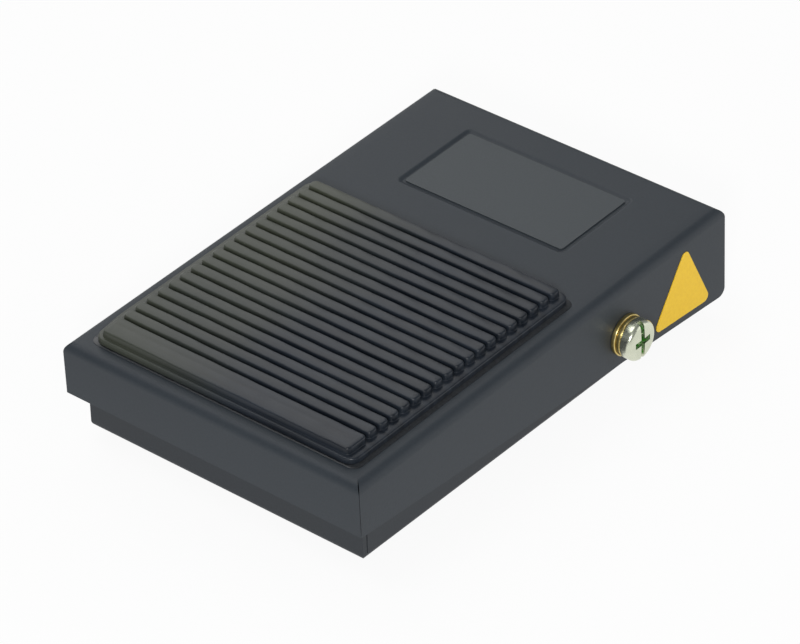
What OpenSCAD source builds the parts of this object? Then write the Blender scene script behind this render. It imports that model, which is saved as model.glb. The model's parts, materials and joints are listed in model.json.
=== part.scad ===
// Foot switch: a low folded-steel pedal that works a snap-action switch.
// Sizes are in millimetres. X runs to the right, Y to the rear, Z up.
// The origin is the middle of the four fixing holes, on the underside of the base.
// The cover and all it carries are drawn with the cover level, then leant to rest.

/* [Cover] */
// Width over the side walls
cover_w = 69; // [66:1:80]
// Length over the front and rear walls
cover_l = 104; // [100:1:120]
// Sheet thickness
cover_t = 1.2; // [1:0.1:1.4]
// Outer radius of the folds
cover_fold_r = 1.9; // [1.6:0.1:2.4]
// Height of the level top above the underside of the base
cover_top = 21; // [20.5:0.5:24]
// Height of the side walls at the front
cover_front_h = 10.9; // [10:0.1:11.5]
// Height of the side walls at the rear
cover_rear_h = 19.4; // [17:0.1:19.4]
// Height of the short rear wall
rear_flange_h = 8; // [6:0.5:8]
// Radius of the lower rear corner of each side wall
cover_heel_r = 1.7; // [1:0.1:4]
// Width of the open seam at each corner
cover_seam = 0.2; // [0.1:0.05:0.3]
// Lean of the cover at rest, in degrees, front down
rest_tilt = 1.11; // [0.9:0.01:1.2]
// Travel of the cover from rest to its stops, in degrees
travel = 3; // [2.6:0.1:3]

/* [Tread pad] */
// Width of the rubber pad
pad_w = 62.2; // [50:0.2:64]
// Length of the rubber pad
pad_l = 60.4; // [45:0.2:62]
// Distance from the front of the cover to the pad
pad_inset = 3.6; // [2.5:0.1:6]
// Corner radius of the pad
pad_corner_r = 1.2; // [0.5:0.1:3]
// Thickness of the flat part of the pad
pad_plate_t = 1.1; // [0.8:0.1:2]
// Height of the ribs above the flat part
pad_rib_h = 1.3; // [0.8:0.1:2]
// Distance from rib to rib
pad_rib_pitch = 2.97; // [2.4:0.01:4]
// Width of the groove between two ribs
pad_groove_w = 0.75; // [0.5:0.05:1]
// Radius along the top edges of a rib
pad_rib_edge_r = 0.45; // [0.2:0.05:0.6]
// Flat margin round the ribs
pad_margin = 0.8; // [0.5:0.1:2]
// Slope of the rib ends, in run over the rib height
pad_end_slope = 0.9; // [0.3:0.1:1.5]
// Width of the rib at the rear
pad_rear_rib_w = 2.6; // [1.5:0.1:3]
// Least width of the broad rib at the front
pad_front_rib_min = 4; // [3:0.5:5]
// Thickness of the adhesive layer
adhesive_t = 0.35; // [0.2:0.05:0.5]
// Distance from the edge of the pad to the adhesive
adhesive_inset = 0.3; // [0.1:0.1:1]

/* [Label and sticker] */
// Width of the pressed recess for the label
recess_w = 39.4; // [30:0.2:50]
// Length of the recess, front to rear
recess_l = 21.6; // [15:0.2:22]
// Depth of the recess
recess_depth = 0.4; // [0.2:0.05:0.5]
// Width of the sloping edge of the recess
recess_slope_w = 0.8; // [0.4:0.1:1.2]
// Distance from the rear of the cover to the middle of the recess
recess_from_rear = 18.5; // [15:0.5:20]
// Gap between the label and the sloping edge
label_gap = 0.4; // [0.2:0.1:1]
// Thickness of the label
label_t = 0.25; // [0.1:0.05:0.4]
// Corner radius of the label
label_corner_r = 0.6; // [0.3:0.1:1.5]
// Side of the three-cornered sticker, corner to corner of its circles
sticker_side = 13.5; // [8:0.5:14]
// Radius of the sticker corners
sticker_corner_r = 1.1; // [0.5:0.1:2]
// Thickness of the sticker
sticker_t = 0.12; // [0.1:0.01:0.3]
// Distance from the rear of the cover to the middle of the sticker
sticker_from_rear = 12.8; // [10:0.2:14]
// Distance from the top of the cover to the middle of the sticker
sticker_drop = 11.9; // [11:0.1:12]

/* [Earth screw] */
// Shank radius of the screw
earth_r = 2; // [1.5:0.5:2.5]
// Radius of the pan head
earth_head_r = 4; // [3.7:0.1:4.6]
// Height of the pan head
earth_head_h = 2.4; // [2:0.1:3]
// Thickness of the flat washer
earth_flat_t = 0.9; // [0.6:0.1:1.2]
// Radius of the flat washer
earth_flat_r = 4.1; // [3.8:0.1:5]
// Thickness of the split spring washer
earth_spring_t = 1; // [0.8:0.1:1.4]
// Radius of the split spring washer
earth_spring_r = 3.9; // [3.6:0.1:4.6]
// Width of the nut over its flats
earth_nut_flats = 7; // [6:0.5:8]
// Thickness of the nut
earth_nut_t = 3; // [2.5:0.5:4]
// Distance from the rear of the cover to the screw
earth_from_rear = 30.3; // [30:0.1:34]
// Distance from the top of the cover to the screw
earth_drop = 10.7; // [10:0.1:11]

/* [Base] */
// Sheet thickness of the base
base_t = 1; // [0.8:0.1:1.2]
// Outer radius of the folds of the base
base_fold_r = 1.3; // [1.3:0.1:1.8]
// Height of the front and side walls
base_wall_h = 10; // [9.5:0.1:10.5]
// Height of the rear wall
base_rear_h = 11; // [10.8:0.1:11.2]
// Gap between the base and each side wall of the cover
side_gap = 1.25; // [1.2:0.05:2]
// Gap between the base and the front wall of the cover
front_gap = 1.85; // [1.5:0.05:3]
// Gap between the base and the rear wall of the cover
rear_gap = 0.85; // [0.7:0.05:1.5]
// Distance between the fixing holes across the base
fix_spacing_x = 40; // [36:1:42]
// Distance between the fixing holes along the base
fix_spacing_y = 60; // [56:1:62]
// Radius of the tapped fixing holes
fix_r = 1.65; // [1.25:0.05:2]
// Wall of the raised collar round a fixing hole
fix_collar_wall = 1.2; // [0.8:0.1:1.5]
// Height of the raised collar above the floor
fix_collar_h = 1.6; // [1:0.1:3]
// Radius of a rubber foot
foot_r = 4.5; // [3:0.5:5]
// Thickness of a rubber foot
foot_t = 1.3; // [1:0.1:3]
// Distance between the feet across the base
foot_spacing_x = 44; // [40:1:48]
// Distance from the end of the base to the middle of a foot
foot_inset = 8; // [7:0.5:9]

/* [Cable inlet] */
// Radius of the bore for the cable
cable_bore_r = 2.8; // [2:0.1:2.8]
// Radius of the hole in the rear wall
grommet_neck_r = 3.7; // [3.5:0.1:3.8]
// Radius of the two lips of the grommet
grommet_lip_r = 4.7; // [4.5:0.1:4.8]
// Thickness of each lip
grommet_lip_t = 1.4; // [1:0.1:1.4]
// Height of the bore above the underside of the base
grommet_z = 6; // [5.9:0.1:6.1]

/* [Hinge] */
// Distance from the rear of the base to the hinge line
hinge_inset = 8.2; // [7:0.1:9]
// Height of the hinge line above the underside of the base
hinge_z = 5.5; // [5.3:0.1:5.7]
// Radius of the hinge pins
pin_r = 2; // [1.5:0.1:2.2]
// Radius of the pin heads
pin_head_r = 3; // [2.6:0.1:3.4]
// Thickness of the pin heads
pin_head_t = 0.8; // [0.5:0.1:0.8]
// Sheet thickness of the hinge bracket
ear_t = 1.5; // [1.2:0.1:2]
// Radius of the lower end of each ear
ear_r = 4; // [3.8:0.1:4.1]
// Length of the bracket along the cover
ear_l = 13; // [11:0.5:14]
// Gap between an ear and the base wall
ear_gap = 0.3; // [0.2:0.05:0.5]
// Gap between an ear and its retaining clip
clip_gap = 0.3; // [0.2:0.05:0.5]
// Thickness of a retaining clip
clip_t = 0.6; // [0.4:0.1:0.8]
// Outer radius of a retaining clip
clip_r = 3.6; // [3.2:0.1:3.8]
// Depth of the groove for the clip
clip_groove = 0.5; // [0.3:0.1:0.7]

/* [Return springs and stops] */
// Distance between the two springs, which stand between the two columns of fixing holes
spring_spacing = 20; // [14:1:22]
// Distance from the front of the base to the springs
spring_inset = 29; // [27:0.5:32]
// Wire diameter of a spring
spring_wire = 1; // [0.8:0.1:1.2]
// Mean radius of the coils
spring_coil_r = 4.4; // [4.3:0.1:5]
// Number of turns
spring_turns = 6; // [4:1:7]
// Radius of the disc of a spring seat
seat_r = 5.6; // [5.5:0.1:6]
// Thickness of the disc of a spring seat
seat_t = 0.8; // [0.6:0.1:1]
// Radius of the peg of a spring seat
seat_peg_r = 3.3; // [2.5:0.1:3.4]
// Length of the peg of a spring seat
seat_peg_h = 2.5; // [1.5:0.1:3]
// Radius of a stop buffer
buffer_r = 4; // [3:0.5:4]
// Distance between the two stop buffers
buffer_spacing = 20; // [14:1:26]
// Distance from the front of the base to the stop buffers
buffer_inset = 10; // [8:0.5:11]

/* [Snap-action switch] */
// Length of the switch case
case_l = 27.8; // [27.4:0.2:29]
// Depth of the switch case, lever side to terminal side
case_d = 15.9; // [15.9:0.1:17]
// Thickness of the switch case with its lid
case_h = 10.3; // [10:0.1:10.6]
// Wall of the switch case
case_wall = 1.2; // [1:0.1:1.2]
// Floor of the switch case
case_floor = 1.5; // [1.2:0.1:1.6]
// Thickness of the lid
lid_t = 1.2; // [1:0.1:1.3]
// Distance of the switch's middle to the left of the centre line
case_offset = 3; // [2:0.5:4]
// Distance from the front of the base to the switch case
case_inset = 48.45; // [47:0.05:50]
// Thickness of the insulating sheet
sheet_t = 0.4; // [0.2:0.1:0.6]
// How far the insulating sheet reaches past the case
sheet_margin = 1; // [0.5:0.1:1.5]
// Shank radius of the mounting screws
screw_r = 1.5; // [1.25:0.05:1.5]
// Head radius of the mounting screws
screw_head_r = 2.75; // [2.4:0.05:3]
// Head height of the mounting screws
screw_head_h = 1.8; // [1.4:0.1:2]
// Distance from the case's edge to a mounting hole
screw_inset = 2.8; // [2.6:0.1:3]
// Wall round a mounting hole inside the case
screw_wall = 1.3; // [1:0.1:1.4]
// Width of the three terminal tabs
tab_w = 2.8; // [2.4:0.1:3.4]
// Thickness of the terminals
tab_t = 0.8; // [0.5:0.1:0.8]
// Length of the tabs outside the case
tab_l = 8; // [6:0.5:9]
// Distance from tab to tab
tab_pitch = 6; // [5:0.1:7]
// Radius of the hole in a tab
tab_hole_r = 0.6; // [0.4:0.1:0.7]
// Width of the lever and the contact blade
lever_w = 4.2; // [3.6:0.1:4.4]
// Thickness of the lever
lever_t = 0.45; // [0.3:0.05:0.5]
// Radius of the lever's knuckle
knuckle_r = 0.9; // [0.8:0.05:1]
// Radius of the lever pin
lever_pin_r = 0.5; // [0.4:0.05:0.5]
// Distance from the lever pin to the plunger
plunger_from_pin = 8.5; // [8:0.1:9]
// Radius of the plunger
plunger_r = 1; // [0.8:0.1:1.2]
// How far the plunger stands out of the case at rest
plunger_out = 1.6; // [1.5:0.1:1.8]
// Thickness of the contact blade
blade_t = 0.25; // [0.2:0.05:0.3]
// Radius of the contacts
contact_r = 1.4; // [1:0.1:1.4]
// Height of a contact above what carries it
contact_h = 0.5; // [0.4:0.05:0.6]
// Gap of the open contacts
contact_gap = 1.2; // [1.2:0.05:1.5]

/* [Striker] */
// Width of the striker
striker_w = 4; // [3:0.5:4]
// Sheet thickness of the striker
striker_t = 1; // [0.8:0.1:1.2]
// Slope of the striker from upright, in degrees
striker_slope = 38; // [36:1:40]
// Gap between the striker and the lever at rest
striker_gap = 0.2; // [0.15:0.05:0.3]
// Gap between the striker and the end of the switch case
striker_side_gap = 0.7; // [0.5:0.1:1]
// How far the striker reaches below the lever's upper edge
striker_reach = 1.8; // [1.5:0.1:2.2]
// Length of the welded foot of the striker
striker_foot_l = 7; // [5:0.5:9]

/* [Hidden] */
$fn = 48;
// Overrun of every cut
cut = 1;
// Clearance of a shaft in its hole
fit = 0.05;
// Clearance between solids that rest against each other without a fixing
touch = 0.02;
// Depth by which a straight edge dips into a round corner, so that it crosses it instead of grazing it
dip = 0.002;
// Clearance between moving pieces inside the switch
play = 0.1;

// Heights and rotations of the cover
base_l = cover_l - 2 * cover_t - front_gap - rear_gap;
base_w = cover_w - 2 * cover_t - 2 * side_gap;
base_x = base_w / 2;
base_y = base_l / 2;
base_in_x = base_x - base_t;
cover_x = cover_w / 2;
cover_back = base_y + rear_gap + cover_t;
cover_front = cover_back - cover_l;
under_z = cover_top - cover_t;
hinge_y = base_y - hinge_inset;
full_tilt = rest_tilt + travel;

// Height at rest of the cover's underside over a place on the base, for a given lean
function under_at(y, tilt) = hinge_z + (under_z - hinge_z) / cos(tilt) + (y - hinge_y) * tan(tilt);
// Place on the level cover of a point that rests at y, a given height over the hinge line
function level_y(y, rise) = hinge_y + (y - hinge_y) * cos(rest_tilt) + rise * sin(rest_tilt);
function level_z(y, rise) = hinge_z + rise * cos(rest_tilt) - (y - hinge_y) * sin(rest_tilt);
// Height at rest of a point on the level cover
function rest_z(y, z) = hinge_z + (z - hinge_z) * cos(rest_tilt) + (y - hinge_y) * sin(rest_tilt);
function rest_y(y, z) = hinge_y + (y - hinge_y) * cos(rest_tilt) - (z - hinge_z) * sin(rest_tilt);

// Slope of the lower edge of the side walls on the level cover
edge_slope = atan((cover_rear_h - cover_front_h) / cover_l);

// Tread pad
pad_y0 = cover_front + pad_inset;
pad_z = cover_top + adhesive_t;
pad_floor_z = pad_z + pad_plate_t;
rib_y0 = pad_y0 + pad_margin;
rib_y1 = pad_y0 + pad_l - pad_margin;
rib_count = floor((rib_y1 - rib_y0 - pad_rear_rib_w - pad_front_rib_min) / pad_rib_pitch);
rib_half_w = pad_w / 2 - pad_margin;

// Earth screw
earth_y = cover_back - earth_from_rear;
earth_z = cover_top - earth_drop;
earth_nut_corner_r = earth_nut_flats / 2 / cos(30);
earth_stack = earth_flat_t + earth_spring_t;
earth_tip = 0.6;
earth_slot_w = 1;
earth_slot_depth = 1.1;
earth_cross_w = 1.2;
earth_cross_l = 4.2;
earth_cross_depth = 1.5;
earth_split_w = 0.6;
earth_head_edge_r = 0.9;
// The notch in the base wall lets the nut through over the whole travel
earth_rest_y = rest_y(earth_y, earth_z);
earth_rest_z = rest_z(earth_y, earth_z);
earth_fall = (hinge_y - earth_rest_y) * sin(travel);
notch_gap = 0.5;
notch_r = earth_nut_corner_r + notch_gap;

// Hinge
ear_x = base_in_x - ear_gap;
pin_inner_x = ear_x - ear_t - clip_gap - 2 * clip_t;
clip_x = ear_x - ear_t - clip_gap - clip_t;
heel_gap = 0.1;
ear_back = 6.2;

// Springs and stops
spring_x = spring_spacing / 2;
spring_y = -base_y + spring_inset;
seat_top_rise = under_z - seat_t - hinge_z;
upper_seat_y = level_y(spring_y, seat_top_rise);
spring_low = base_t + seat_t + touch;
spring_lean = spring_coil_r + spring_wire / 2;
spring_high = rest_z(upper_seat_y - spring_lean, under_z - seat_t) - touch;
// Share of the pitch taken off the end turns
spring_end_share = 0.45;
spring_rings = 12;
spring_sides = 6;
buffer_y = -base_y + buffer_inset;
buffer_top = under_at(buffer_y - buffer_r, full_tilt) - heel_gap;

// Snap-action switch, lying on its side with the lever to the front
case_y0 = -base_y + case_inset;
case_y1 = case_y0 + case_d;
case_x0 = -case_offset - case_l / 2;
case_x1 = case_x0 + case_l;
case_z0 = base_t + sheet_t;
case_top = case_z0 + case_h;
lid_z = case_top - lid_t;
mid_z = case_z0 + case_h / 2;
cavity_z = case_z0 + case_floor;
// Mounting screws: one by the lever side at the right, one by the terminals at the left
screw_places = [
    [case_x1 - screw_inset, case_y0 + screw_inset],
    [case_x0 + screw_inset, case_y1 - screw_inset]
];
column_r = screw_r + fit + screw_wall;
screw_tip = 0.1;
screw_slot_w = 0.8;
screw_slot_depth = 0.9;

// Lever, its pin and the plunger
lever_face_y = case_y0 - plunger_out - fit;
pin_inset = 2.4;
pin_x = case_x0 + pin_inset;
lever_pin_y = lever_face_y - lever_t + knuckle_r;
striker_x0 = case_x1 + striker_side_gap;
striker_x1 = striker_x0 + striker_w;
lever_end_x = striker_x1 - play;
lever_top = mid_z + lever_w / 2;
lug_t = 1.3;
lug_gap = 0.15;
lug_l = 2.4;
lug_high = lever_top + lug_gap;
lug_low = mid_z - lever_w / 2 - lug_gap;
plunger_x = pin_x + plunger_from_pin;
plunger_rim = 0.7;
plunger_flange_r = plunger_r + plunger_rim;
plunger_flange_t = 0.6;
plunger_in = 2;

// Contact blade, contacts and terminals
blade_y = case_y0 + case_wall + plunger_in + fit;
blade_back = blade_y + blade_t;
blade_margin = 0.3;
blade_w = lever_w - 2 * blade_margin;
blade_x0 = pin_x + play;
// The contacts sit as far right as the mounting screw's column lets them
contact_gap_x = 0.35;
blade_x1 = case_x1 - screw_inset - column_r - contact_gap_x;
contact_x = blade_x1 - play - contact_r;
contact_shank_r = 0.9;
post_t = 0.8;
post_w = 1.8;
strip_t = 0.6;
strip_w = 3;
open_contact_y = blade_back + contact_h + contact_gap;
// The three tabs are counted from the case's right wall
tab_wall_gap = 0.3;
closed_x = case_x1 - case_wall - tab_wall_gap - tab_w / 2;
open_x = closed_x - tab_pitch;
common_x = open_x - tab_pitch;
tab_z = mid_z - tab_t / 2;
tab_end = case_y1 + tab_l;
window_share = 0.45;

// Striker
lever_front_y = lever_face_y - lever_t;
striker_run = striker_t / cos(striker_slope);

paint = [0.17, 0.18, 0.19];
rubber = [0.12, 0.12, 0.13];
zinc = [0.72, 0.73, 0.7];
yellow_zinc = [0.78, 0.66, 0.33];
steel = [0.6, 0.62, 0.64];
brass = [0.8, 0.64, 0.32];
silver = [0.85, 0.85, 0.86];
phenolic = [0.1, 0.1, 0.11];
fish_paper = [0.45, 0.47, 0.43];
sticker_yellow = [0.93, 0.74, 0.2];
label_grey = [0.24, 0.26, 0.27];
plunger_red = [0.6, 0.12, 0.1];

// Leans a level piece of the cover to its rest
module on_cover() {
    translate([0, hinge_y, hinge_z])
        rotate([rest_tilt, 0, 0])
            translate([0, -hinge_y, -hinge_z])
                children();
}

// Outline in two axes with round upper corners
module round_top(u0, u1, v0, v1, r) {
    translate([u0, v0])
        square([u1 - u0, v1 - r - v0]);
    translate([u0 + r, v0])
        square([u1 - u0 - 2 * r, v1 - v0]);
    for (u = [u0 + r, u1 - r])
        translate([u, v1 - r])
            circle(r);
}

// Block from corner to corner whose four upper edges are folds
module folded_block(x0, x1, y0, y1, z0, z1, r) {
    intersection() {
        translate([0, y1, 0])
            rotate([90, 0, 0])
                linear_extrude(y1 - y0)
                    round_top(x0, x1, z0, z1, r);
        along_x(x0, x1)
            round_top(y0, y1, z0, z1, r);
    }
}

// Extrudes an outline drawn in Y and Z from one X to another
module along_x(x0, x1) {
    translate([x0, 0, 0])
        rotate([90, 0, 90])
            linear_extrude(x1 - x0)
                children();
}

// Box from corner to corner
module block(from, to) {
    translate(from)
        cube(to - from);
}

// Flat rectangle with round corners
module round_rect(x0, x1, y0, y1, r) {
    translate([x0 + r, y0])
        square([x1 - x0 - 2 * r, y1 - y0]);
    translate([x0, y0 + r])
        square([x1 - x0, y1 - y0 - 2 * r]);
    for (x = [x0 + r, x1 - r])
        for (y = [y0 + r, y1 - r])
            translate([x, y])
                circle(r);
}

// Round bar along X, from one X to another
module bar_x(x0, x1, y, z, r) {
    translate([x0, y, z])
        rotate([0, 90, 0])
            cylinder(h = x1 - x0, r = r);
}

// Round bar along Y
module bar_y(y0, y1, x, z, r) {
    translate([x, y0, z])
        rotate([-90, 0, 0])
            cylinder(h = y1 - y0, r = r);
}

// Round bar along Z
module bar_z(z0, z1, x, y, r) {
    translate([x, y, z0])
        cylinder(h = z1 - z0, r = r);
}

// Draws the children and their mirror image across the middle
module both_sides() {
    children();
    mirror([1, 0, 0])
        children();
}

// Base: a folded tray that everything fixed stands on

module base_walls() {
    difference() {
        translate([0, 0, base_rear_h])
            mirror([0, 0, 1])
                folded_block(-base_x, base_x, -base_y, base_y, 0, base_rear_h, base_fold_r);
        translate([0, 0, base_rear_h + cut])
            mirror([0, 0, 1])
                folded_block(
                    -base_in_x, base_in_x, -base_y + base_t, base_y - base_t,
                    0, base_rear_h + cut - base_t, base_fold_r - base_t
                );
        // The front and side walls are lower than the rear one
        block(
            [-base_x - cut, -base_y - cut, base_wall_h],
            [base_x + cut, base_y - base_t - cover_seam, base_rear_h + cut]
        );
    }
}

module base_seams() {
    for (y = [-base_y + base_t, base_y - base_t - cover_seam])
        block(
            [base_in_x - base_fold_r, y, base_fold_r],
            [base_x + cut, y + cover_seam, base_rear_h + cut]
        );
}

module earth_notch() {
    low = earth_rest_z - earth_fall;
    bar_x(base_in_x - cut, base_x + cut, earth_rest_y, low, notch_r);
    block(
        [base_in_x - cut, earth_rest_y - notch_r, low],
        [base_x + cut, earth_rest_y + notch_r, base_wall_h + cut]
    );
}

module at_fixings() {
    for (x = [-fix_spacing_x / 2, fix_spacing_x / 2])
        for (y = [-fix_spacing_y / 2, fix_spacing_y / 2])
            translate([x, y, 0])
                children();
}

module base_tray() {
    color(paint)
    difference() {
        union() {
            base_walls();
            at_fixings()
                cylinder(h = base_t + fix_collar_h, r = fix_r + fix_collar_wall);
        }
        both_sides()
            base_seams();
        earth_notch();
        at_fixings()
            translate([0, 0, -cut])
                cylinder(h = base_t + fix_collar_h + 2 * cut, r = fix_r);
        for (place = screw_places)
            bar_z(-cut, base_t + cut, place.x, place.y, screw_r + fit);
        bar_y(base_y - base_t - cut, base_y + cut, 0, grommet_z, grommet_neck_r + fit);
        both_sides()
            bar_x(base_in_x - cut, base_x + cut, hinge_y, hinge_z, pin_r + fit);
    }
}

module rubber_feet() {
    color(rubber)
    for (x = [-foot_spacing_x / 2, foot_spacing_x / 2])
        for (y = [-base_y + foot_inset, base_y - foot_inset])
            bar_z(-foot_t, 0, x, y, foot_r);
}

module cable_grommet() {
    color(rubber)
    difference() {
        union() {
            bar_y(base_y - base_t - grommet_lip_t, base_y - base_t, 0, grommet_z, grommet_lip_r);
            bar_y(base_y - base_t - touch, base_y + touch, 0, grommet_z, grommet_neck_r);
            bar_y(base_y, base_y + grommet_lip_t, 0, grommet_z, grommet_lip_r);
        }
        bar_y(
            base_y - base_t - grommet_lip_t - cut, base_y + grommet_lip_t + cut,
            0, grommet_z, cable_bore_r
        );
    }
}

module hinge_pins() {
    color(zinc)
    both_sides()
        difference() {
            union() {
                bar_x(base_x, base_x + pin_head_t, hinge_y, hinge_z, pin_head_r);
                bar_x(pin_inner_x, base_x + touch, hinge_y, hinge_z, pin_r);
            }
            difference() {
                bar_x(clip_x, clip_x + clip_t, hinge_y, hinge_z, pin_r + cut);
                bar_x(clip_x - cut, clip_x + clip_t + cut, hinge_y, hinge_z, pin_r - clip_groove);
            }
        }
}

module hinge_clips() {
    neck = pin_r - clip_groove + fit;
    color(steel)
    both_sides()
        difference() {
            bar_x(clip_x + touch, clip_x + clip_t - touch, hinge_y, hinge_z, clip_r);
            bar_x(clip_x - cut, clip_x + clip_t + cut, hinge_y, hinge_z, neck);
            // The open mouth that snaps over the pin
            block(
                [clip_x - cut, hinge_y - neck, hinge_z],
                [clip_x + clip_t + cut, hinge_y + neck, hinge_z + clip_r + cut]
            );
        }
}

module stop_buffers() {
    color(rubber)
    both_sides()
        bar_z(base_t, buffer_top, buffer_spacing / 2, buffer_y, buffer_r);
}

module lower_spring_seats() {
    color(zinc)
    both_sides() {
        bar_z(base_t, base_t + seat_t, spring_x, spring_y, seat_r);
        bar_z(base_t, base_t + seat_t + seat_peg_h, spring_x, spring_y, seat_peg_r);
    }
}

// Return springs: a round wire swept along a helix whose end turns close up

spring_r = spring_wire / 2;
spring_ring_count = spring_turns * spring_rings + 1;
spring_run = spring_high - spring_low - spring_wire;

function spring_height(s) =
    spring_low + spring_r + spring_run * (s - spring_end_share * sin(360 * s) / (2 * PI));

function spring_point(i) =
    let (s = i / (spring_ring_count - 1), a = 360 * i / spring_rings)
    [spring_coil_r * cos(a), spring_coil_r * sin(a), spring_height(s)];

// Corner j of the ring at step i: out from the coil's axis, and up
function spring_corner(i, j) =
    let (p = spring_point(i), a = 360 * i / spring_rings, b = 360 * j / spring_sides)
    p + spring_r * [cos(a) * cos(b), sin(a) * cos(b), sin(b)];

module spring_coil() {
    points = [
        for (i = [0:spring_ring_count - 1])
            for (j = [0:spring_sides - 1])
                spring_corner(i, j)
    ];
    sides = [
        for (i = [0:spring_ring_count - 2])
            for (j = [0:spring_sides - 1])
                let (
                    a = i * spring_sides + j,
                    b = i * spring_sides + (j + 1) % spring_sides
                )
                each [[a, b, b + spring_sides], [a, b + spring_sides, a + spring_sides]]
    ];
    first = [for (j = [0:spring_sides - 1]) spring_sides - 1 - j];
    last_start = (spring_ring_count - 1) * spring_sides;
    last = [for (j = [0:spring_sides - 1]) last_start + j];
    polyhedron(points, concat(sides, [first], [last]));
}

module return_springs() {
    color(steel)
    for (x = [-spring_x, spring_x])
        translate([x, spring_y, 0])
            spring_coil();
}

// Snap-action switch

module insulating_sheet() {
    color(fish_paper)
    difference() {
        block(
            [case_x0 - sheet_margin, case_y0 - sheet_margin, base_t],
            [case_x1 + sheet_margin, case_y1 + sheet_margin, base_t + sheet_t]
        );
        for (place = screw_places)
            bar_z(base_t - cut, base_t + sheet_t + cut, place.x, place.y, screw_r + fit);
    }
}

module case_lugs() {
    for (z = [lug_low - lug_t, lug_high])
        difference() {
            block(
                [pin_x - lug_l / 2, lever_pin_y - knuckle_r, z],
                [pin_x + lug_l / 2, case_y0, z + lug_t]
            );
            bar_z(z - cut, z + lug_t + cut, pin_x, lever_pin_y, lever_pin_r + fit);
        }
}

module tab_slot(x) {
    block(
        [x - tab_w / 2 - fit, case_y1 - case_wall - cut, tab_z - fit],
        [x + tab_w / 2 + fit, case_y1 + cut, tab_z + tab_t + fit]
    );
}

module switch_case() {
    color(phenolic)
    difference() {
        union() {
            difference() {
                block([case_x0, case_y0, case_z0], [case_x1, case_y1, lid_z]);
                block(
                    [case_x0 + case_wall, case_y0 + case_wall, cavity_z],
                    [case_x1 - case_wall, case_y1 - case_wall, lid_z + cut]
                );
            }
            intersection() {
                block([case_x0, case_y0, case_z0], [case_x1, case_y1, lid_z]);
                for (place = screw_places)
                    bar_z(case_z0, lid_z, place.x, place.y, column_r);
            }
            case_lugs();
        }
        for (place = screw_places)
            bar_z(case_z0 - cut, lid_z + cut, place.x, place.y, screw_r + fit);
        bar_y(case_y0 - cut, case_y0 + case_wall + cut, plunger_x, mid_z, plunger_r + fit);
        tab_slot(common_x);
        tab_slot(open_x);
        tab_slot(closed_x);
    }
}

module switch_lid() {
    color(phenolic)
    difference() {
        block([case_x0, case_y0, lid_z], [case_x1, case_y1, case_top]);
        for (place = screw_places)
            bar_z(lid_z - cut, case_top + cut, place.x, place.y, screw_r + fit);
    }
}

module switch_screws() {
    color(zinc)
    for (place = screw_places)
        difference() {
            union() {
                bar_z(screw_tip, case_top + touch, place.x, place.y, screw_r);
                bar_z(case_top, case_top + screw_head_h, place.x, place.y, screw_head_r);
            }
            for (turn = [0, 90])
                translate([place.x, place.y, case_top + screw_head_h - screw_slot_depth])
                    rotate([0, 0, turn])
                        translate([-screw_r, -screw_slot_w / 2, 0])
                            cube([2 * screw_r, screw_slot_w, screw_slot_depth + cut]);
        }
}

// Tab of a terminal from a given Y inside the case to its outer end
module terminal_tab(x, y0) {
    difference() {
        block([x - tab_w / 2, y0, tab_z], [x + tab_w / 2, tab_end, tab_z + tab_t]);
        bar_z(tab_z - cut, tab_z + tab_t + cut, x, tab_end - tab_w / 2, tab_hole_r);
    }
}

module common_terminal() {
    post_y = blade_back + play;
    arm_y = post_y + post_t;
    arm_l = 2;
    color(brass)
    union() {
        block(
            [blade_x0 - play, post_y, mid_z - blade_w / 2],
            [blade_x0 - play + post_w, arm_y, mid_z + blade_w / 2]
        );
        block(
            [blade_x0 - play, arm_y - touch, tab_z],
            [common_x + tab_w / 2, arm_y + arm_l, tab_z + tab_t]
        );
        terminal_tab(common_x, arm_y + arm_l - touch);
    }
}

module open_terminal() {
    post_y = open_contact_y + contact_h;
    arm_y = post_y + strip_t;
    color(brass)
    union() {
        block(
            [contact_x - strip_w / 2, post_y, mid_z - blade_w / 2],
            [contact_x + strip_w / 2, arm_y, mid_z + blade_w / 2]
        );
        block(
            [open_x - tab_w / 2, arm_y - touch, tab_z],
            [contact_x + strip_w / 2, arm_y + strip_w, tab_z + tab_t]
        );
        terminal_tab(open_x, arm_y + strip_w - touch);
    }
}

module closed_terminal() {
    post_y = blade_y - 2 * contact_h - strip_t - touch;
    turn_y = open_contact_y + contact_h + 2 * strip_w;
    color(brass)
    union() {
        block(
            [contact_x - strip_w / 2, post_y, cavity_z],
            [contact_x + strip_w / 2, post_y + strip_t, mid_z + blade_w / 2]
        );
        block(
            [contact_x - strip_w / 2, post_y, cavity_z],
            [contact_x + strip_w / 2, turn_y, cavity_z + strip_t]
        );
        block(
            [contact_x - strip_w / 2, turn_y - strip_w / 2, cavity_z],
            [closed_x + tab_w / 2, turn_y, cavity_z + strip_t]
        );
        block(
            [closed_x - tab_w / 2, turn_y - strip_t, cavity_z],
            [closed_x + tab_w / 2, turn_y, tab_z + tab_t]
        );
        terminal_tab(closed_x, turn_y - touch);
    }
}

module fixed_contacts() {
    color(silver) {
        bar_y(
            blade_y - 2 * contact_h - touch, blade_y - contact_h - touch,
            contact_x, mid_z, contact_r
        );
        bar_y(open_contact_y, open_contact_y + contact_h, contact_x, mid_z, contact_r);
    }
}

module lever_pin() {
    color(steel)
    bar_z(lug_low - lug_t, lug_high + lug_t, pin_x, lever_pin_y, lever_pin_r);
}

module switch_lever() {
    color(steel)
    difference() {
        union() {
            bar_z(mid_z - lever_w / 2, lever_top, pin_x, lever_pin_y, knuckle_r);
            block(
                [pin_x, lever_front_y, mid_z - lever_w / 2],
                [lever_end_x, lever_face_y, lever_top]
            );
        }
        bar_z(mid_z - lever_w, lever_top + cut, pin_x, lever_pin_y, lever_pin_r + fit);
    }
}

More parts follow.
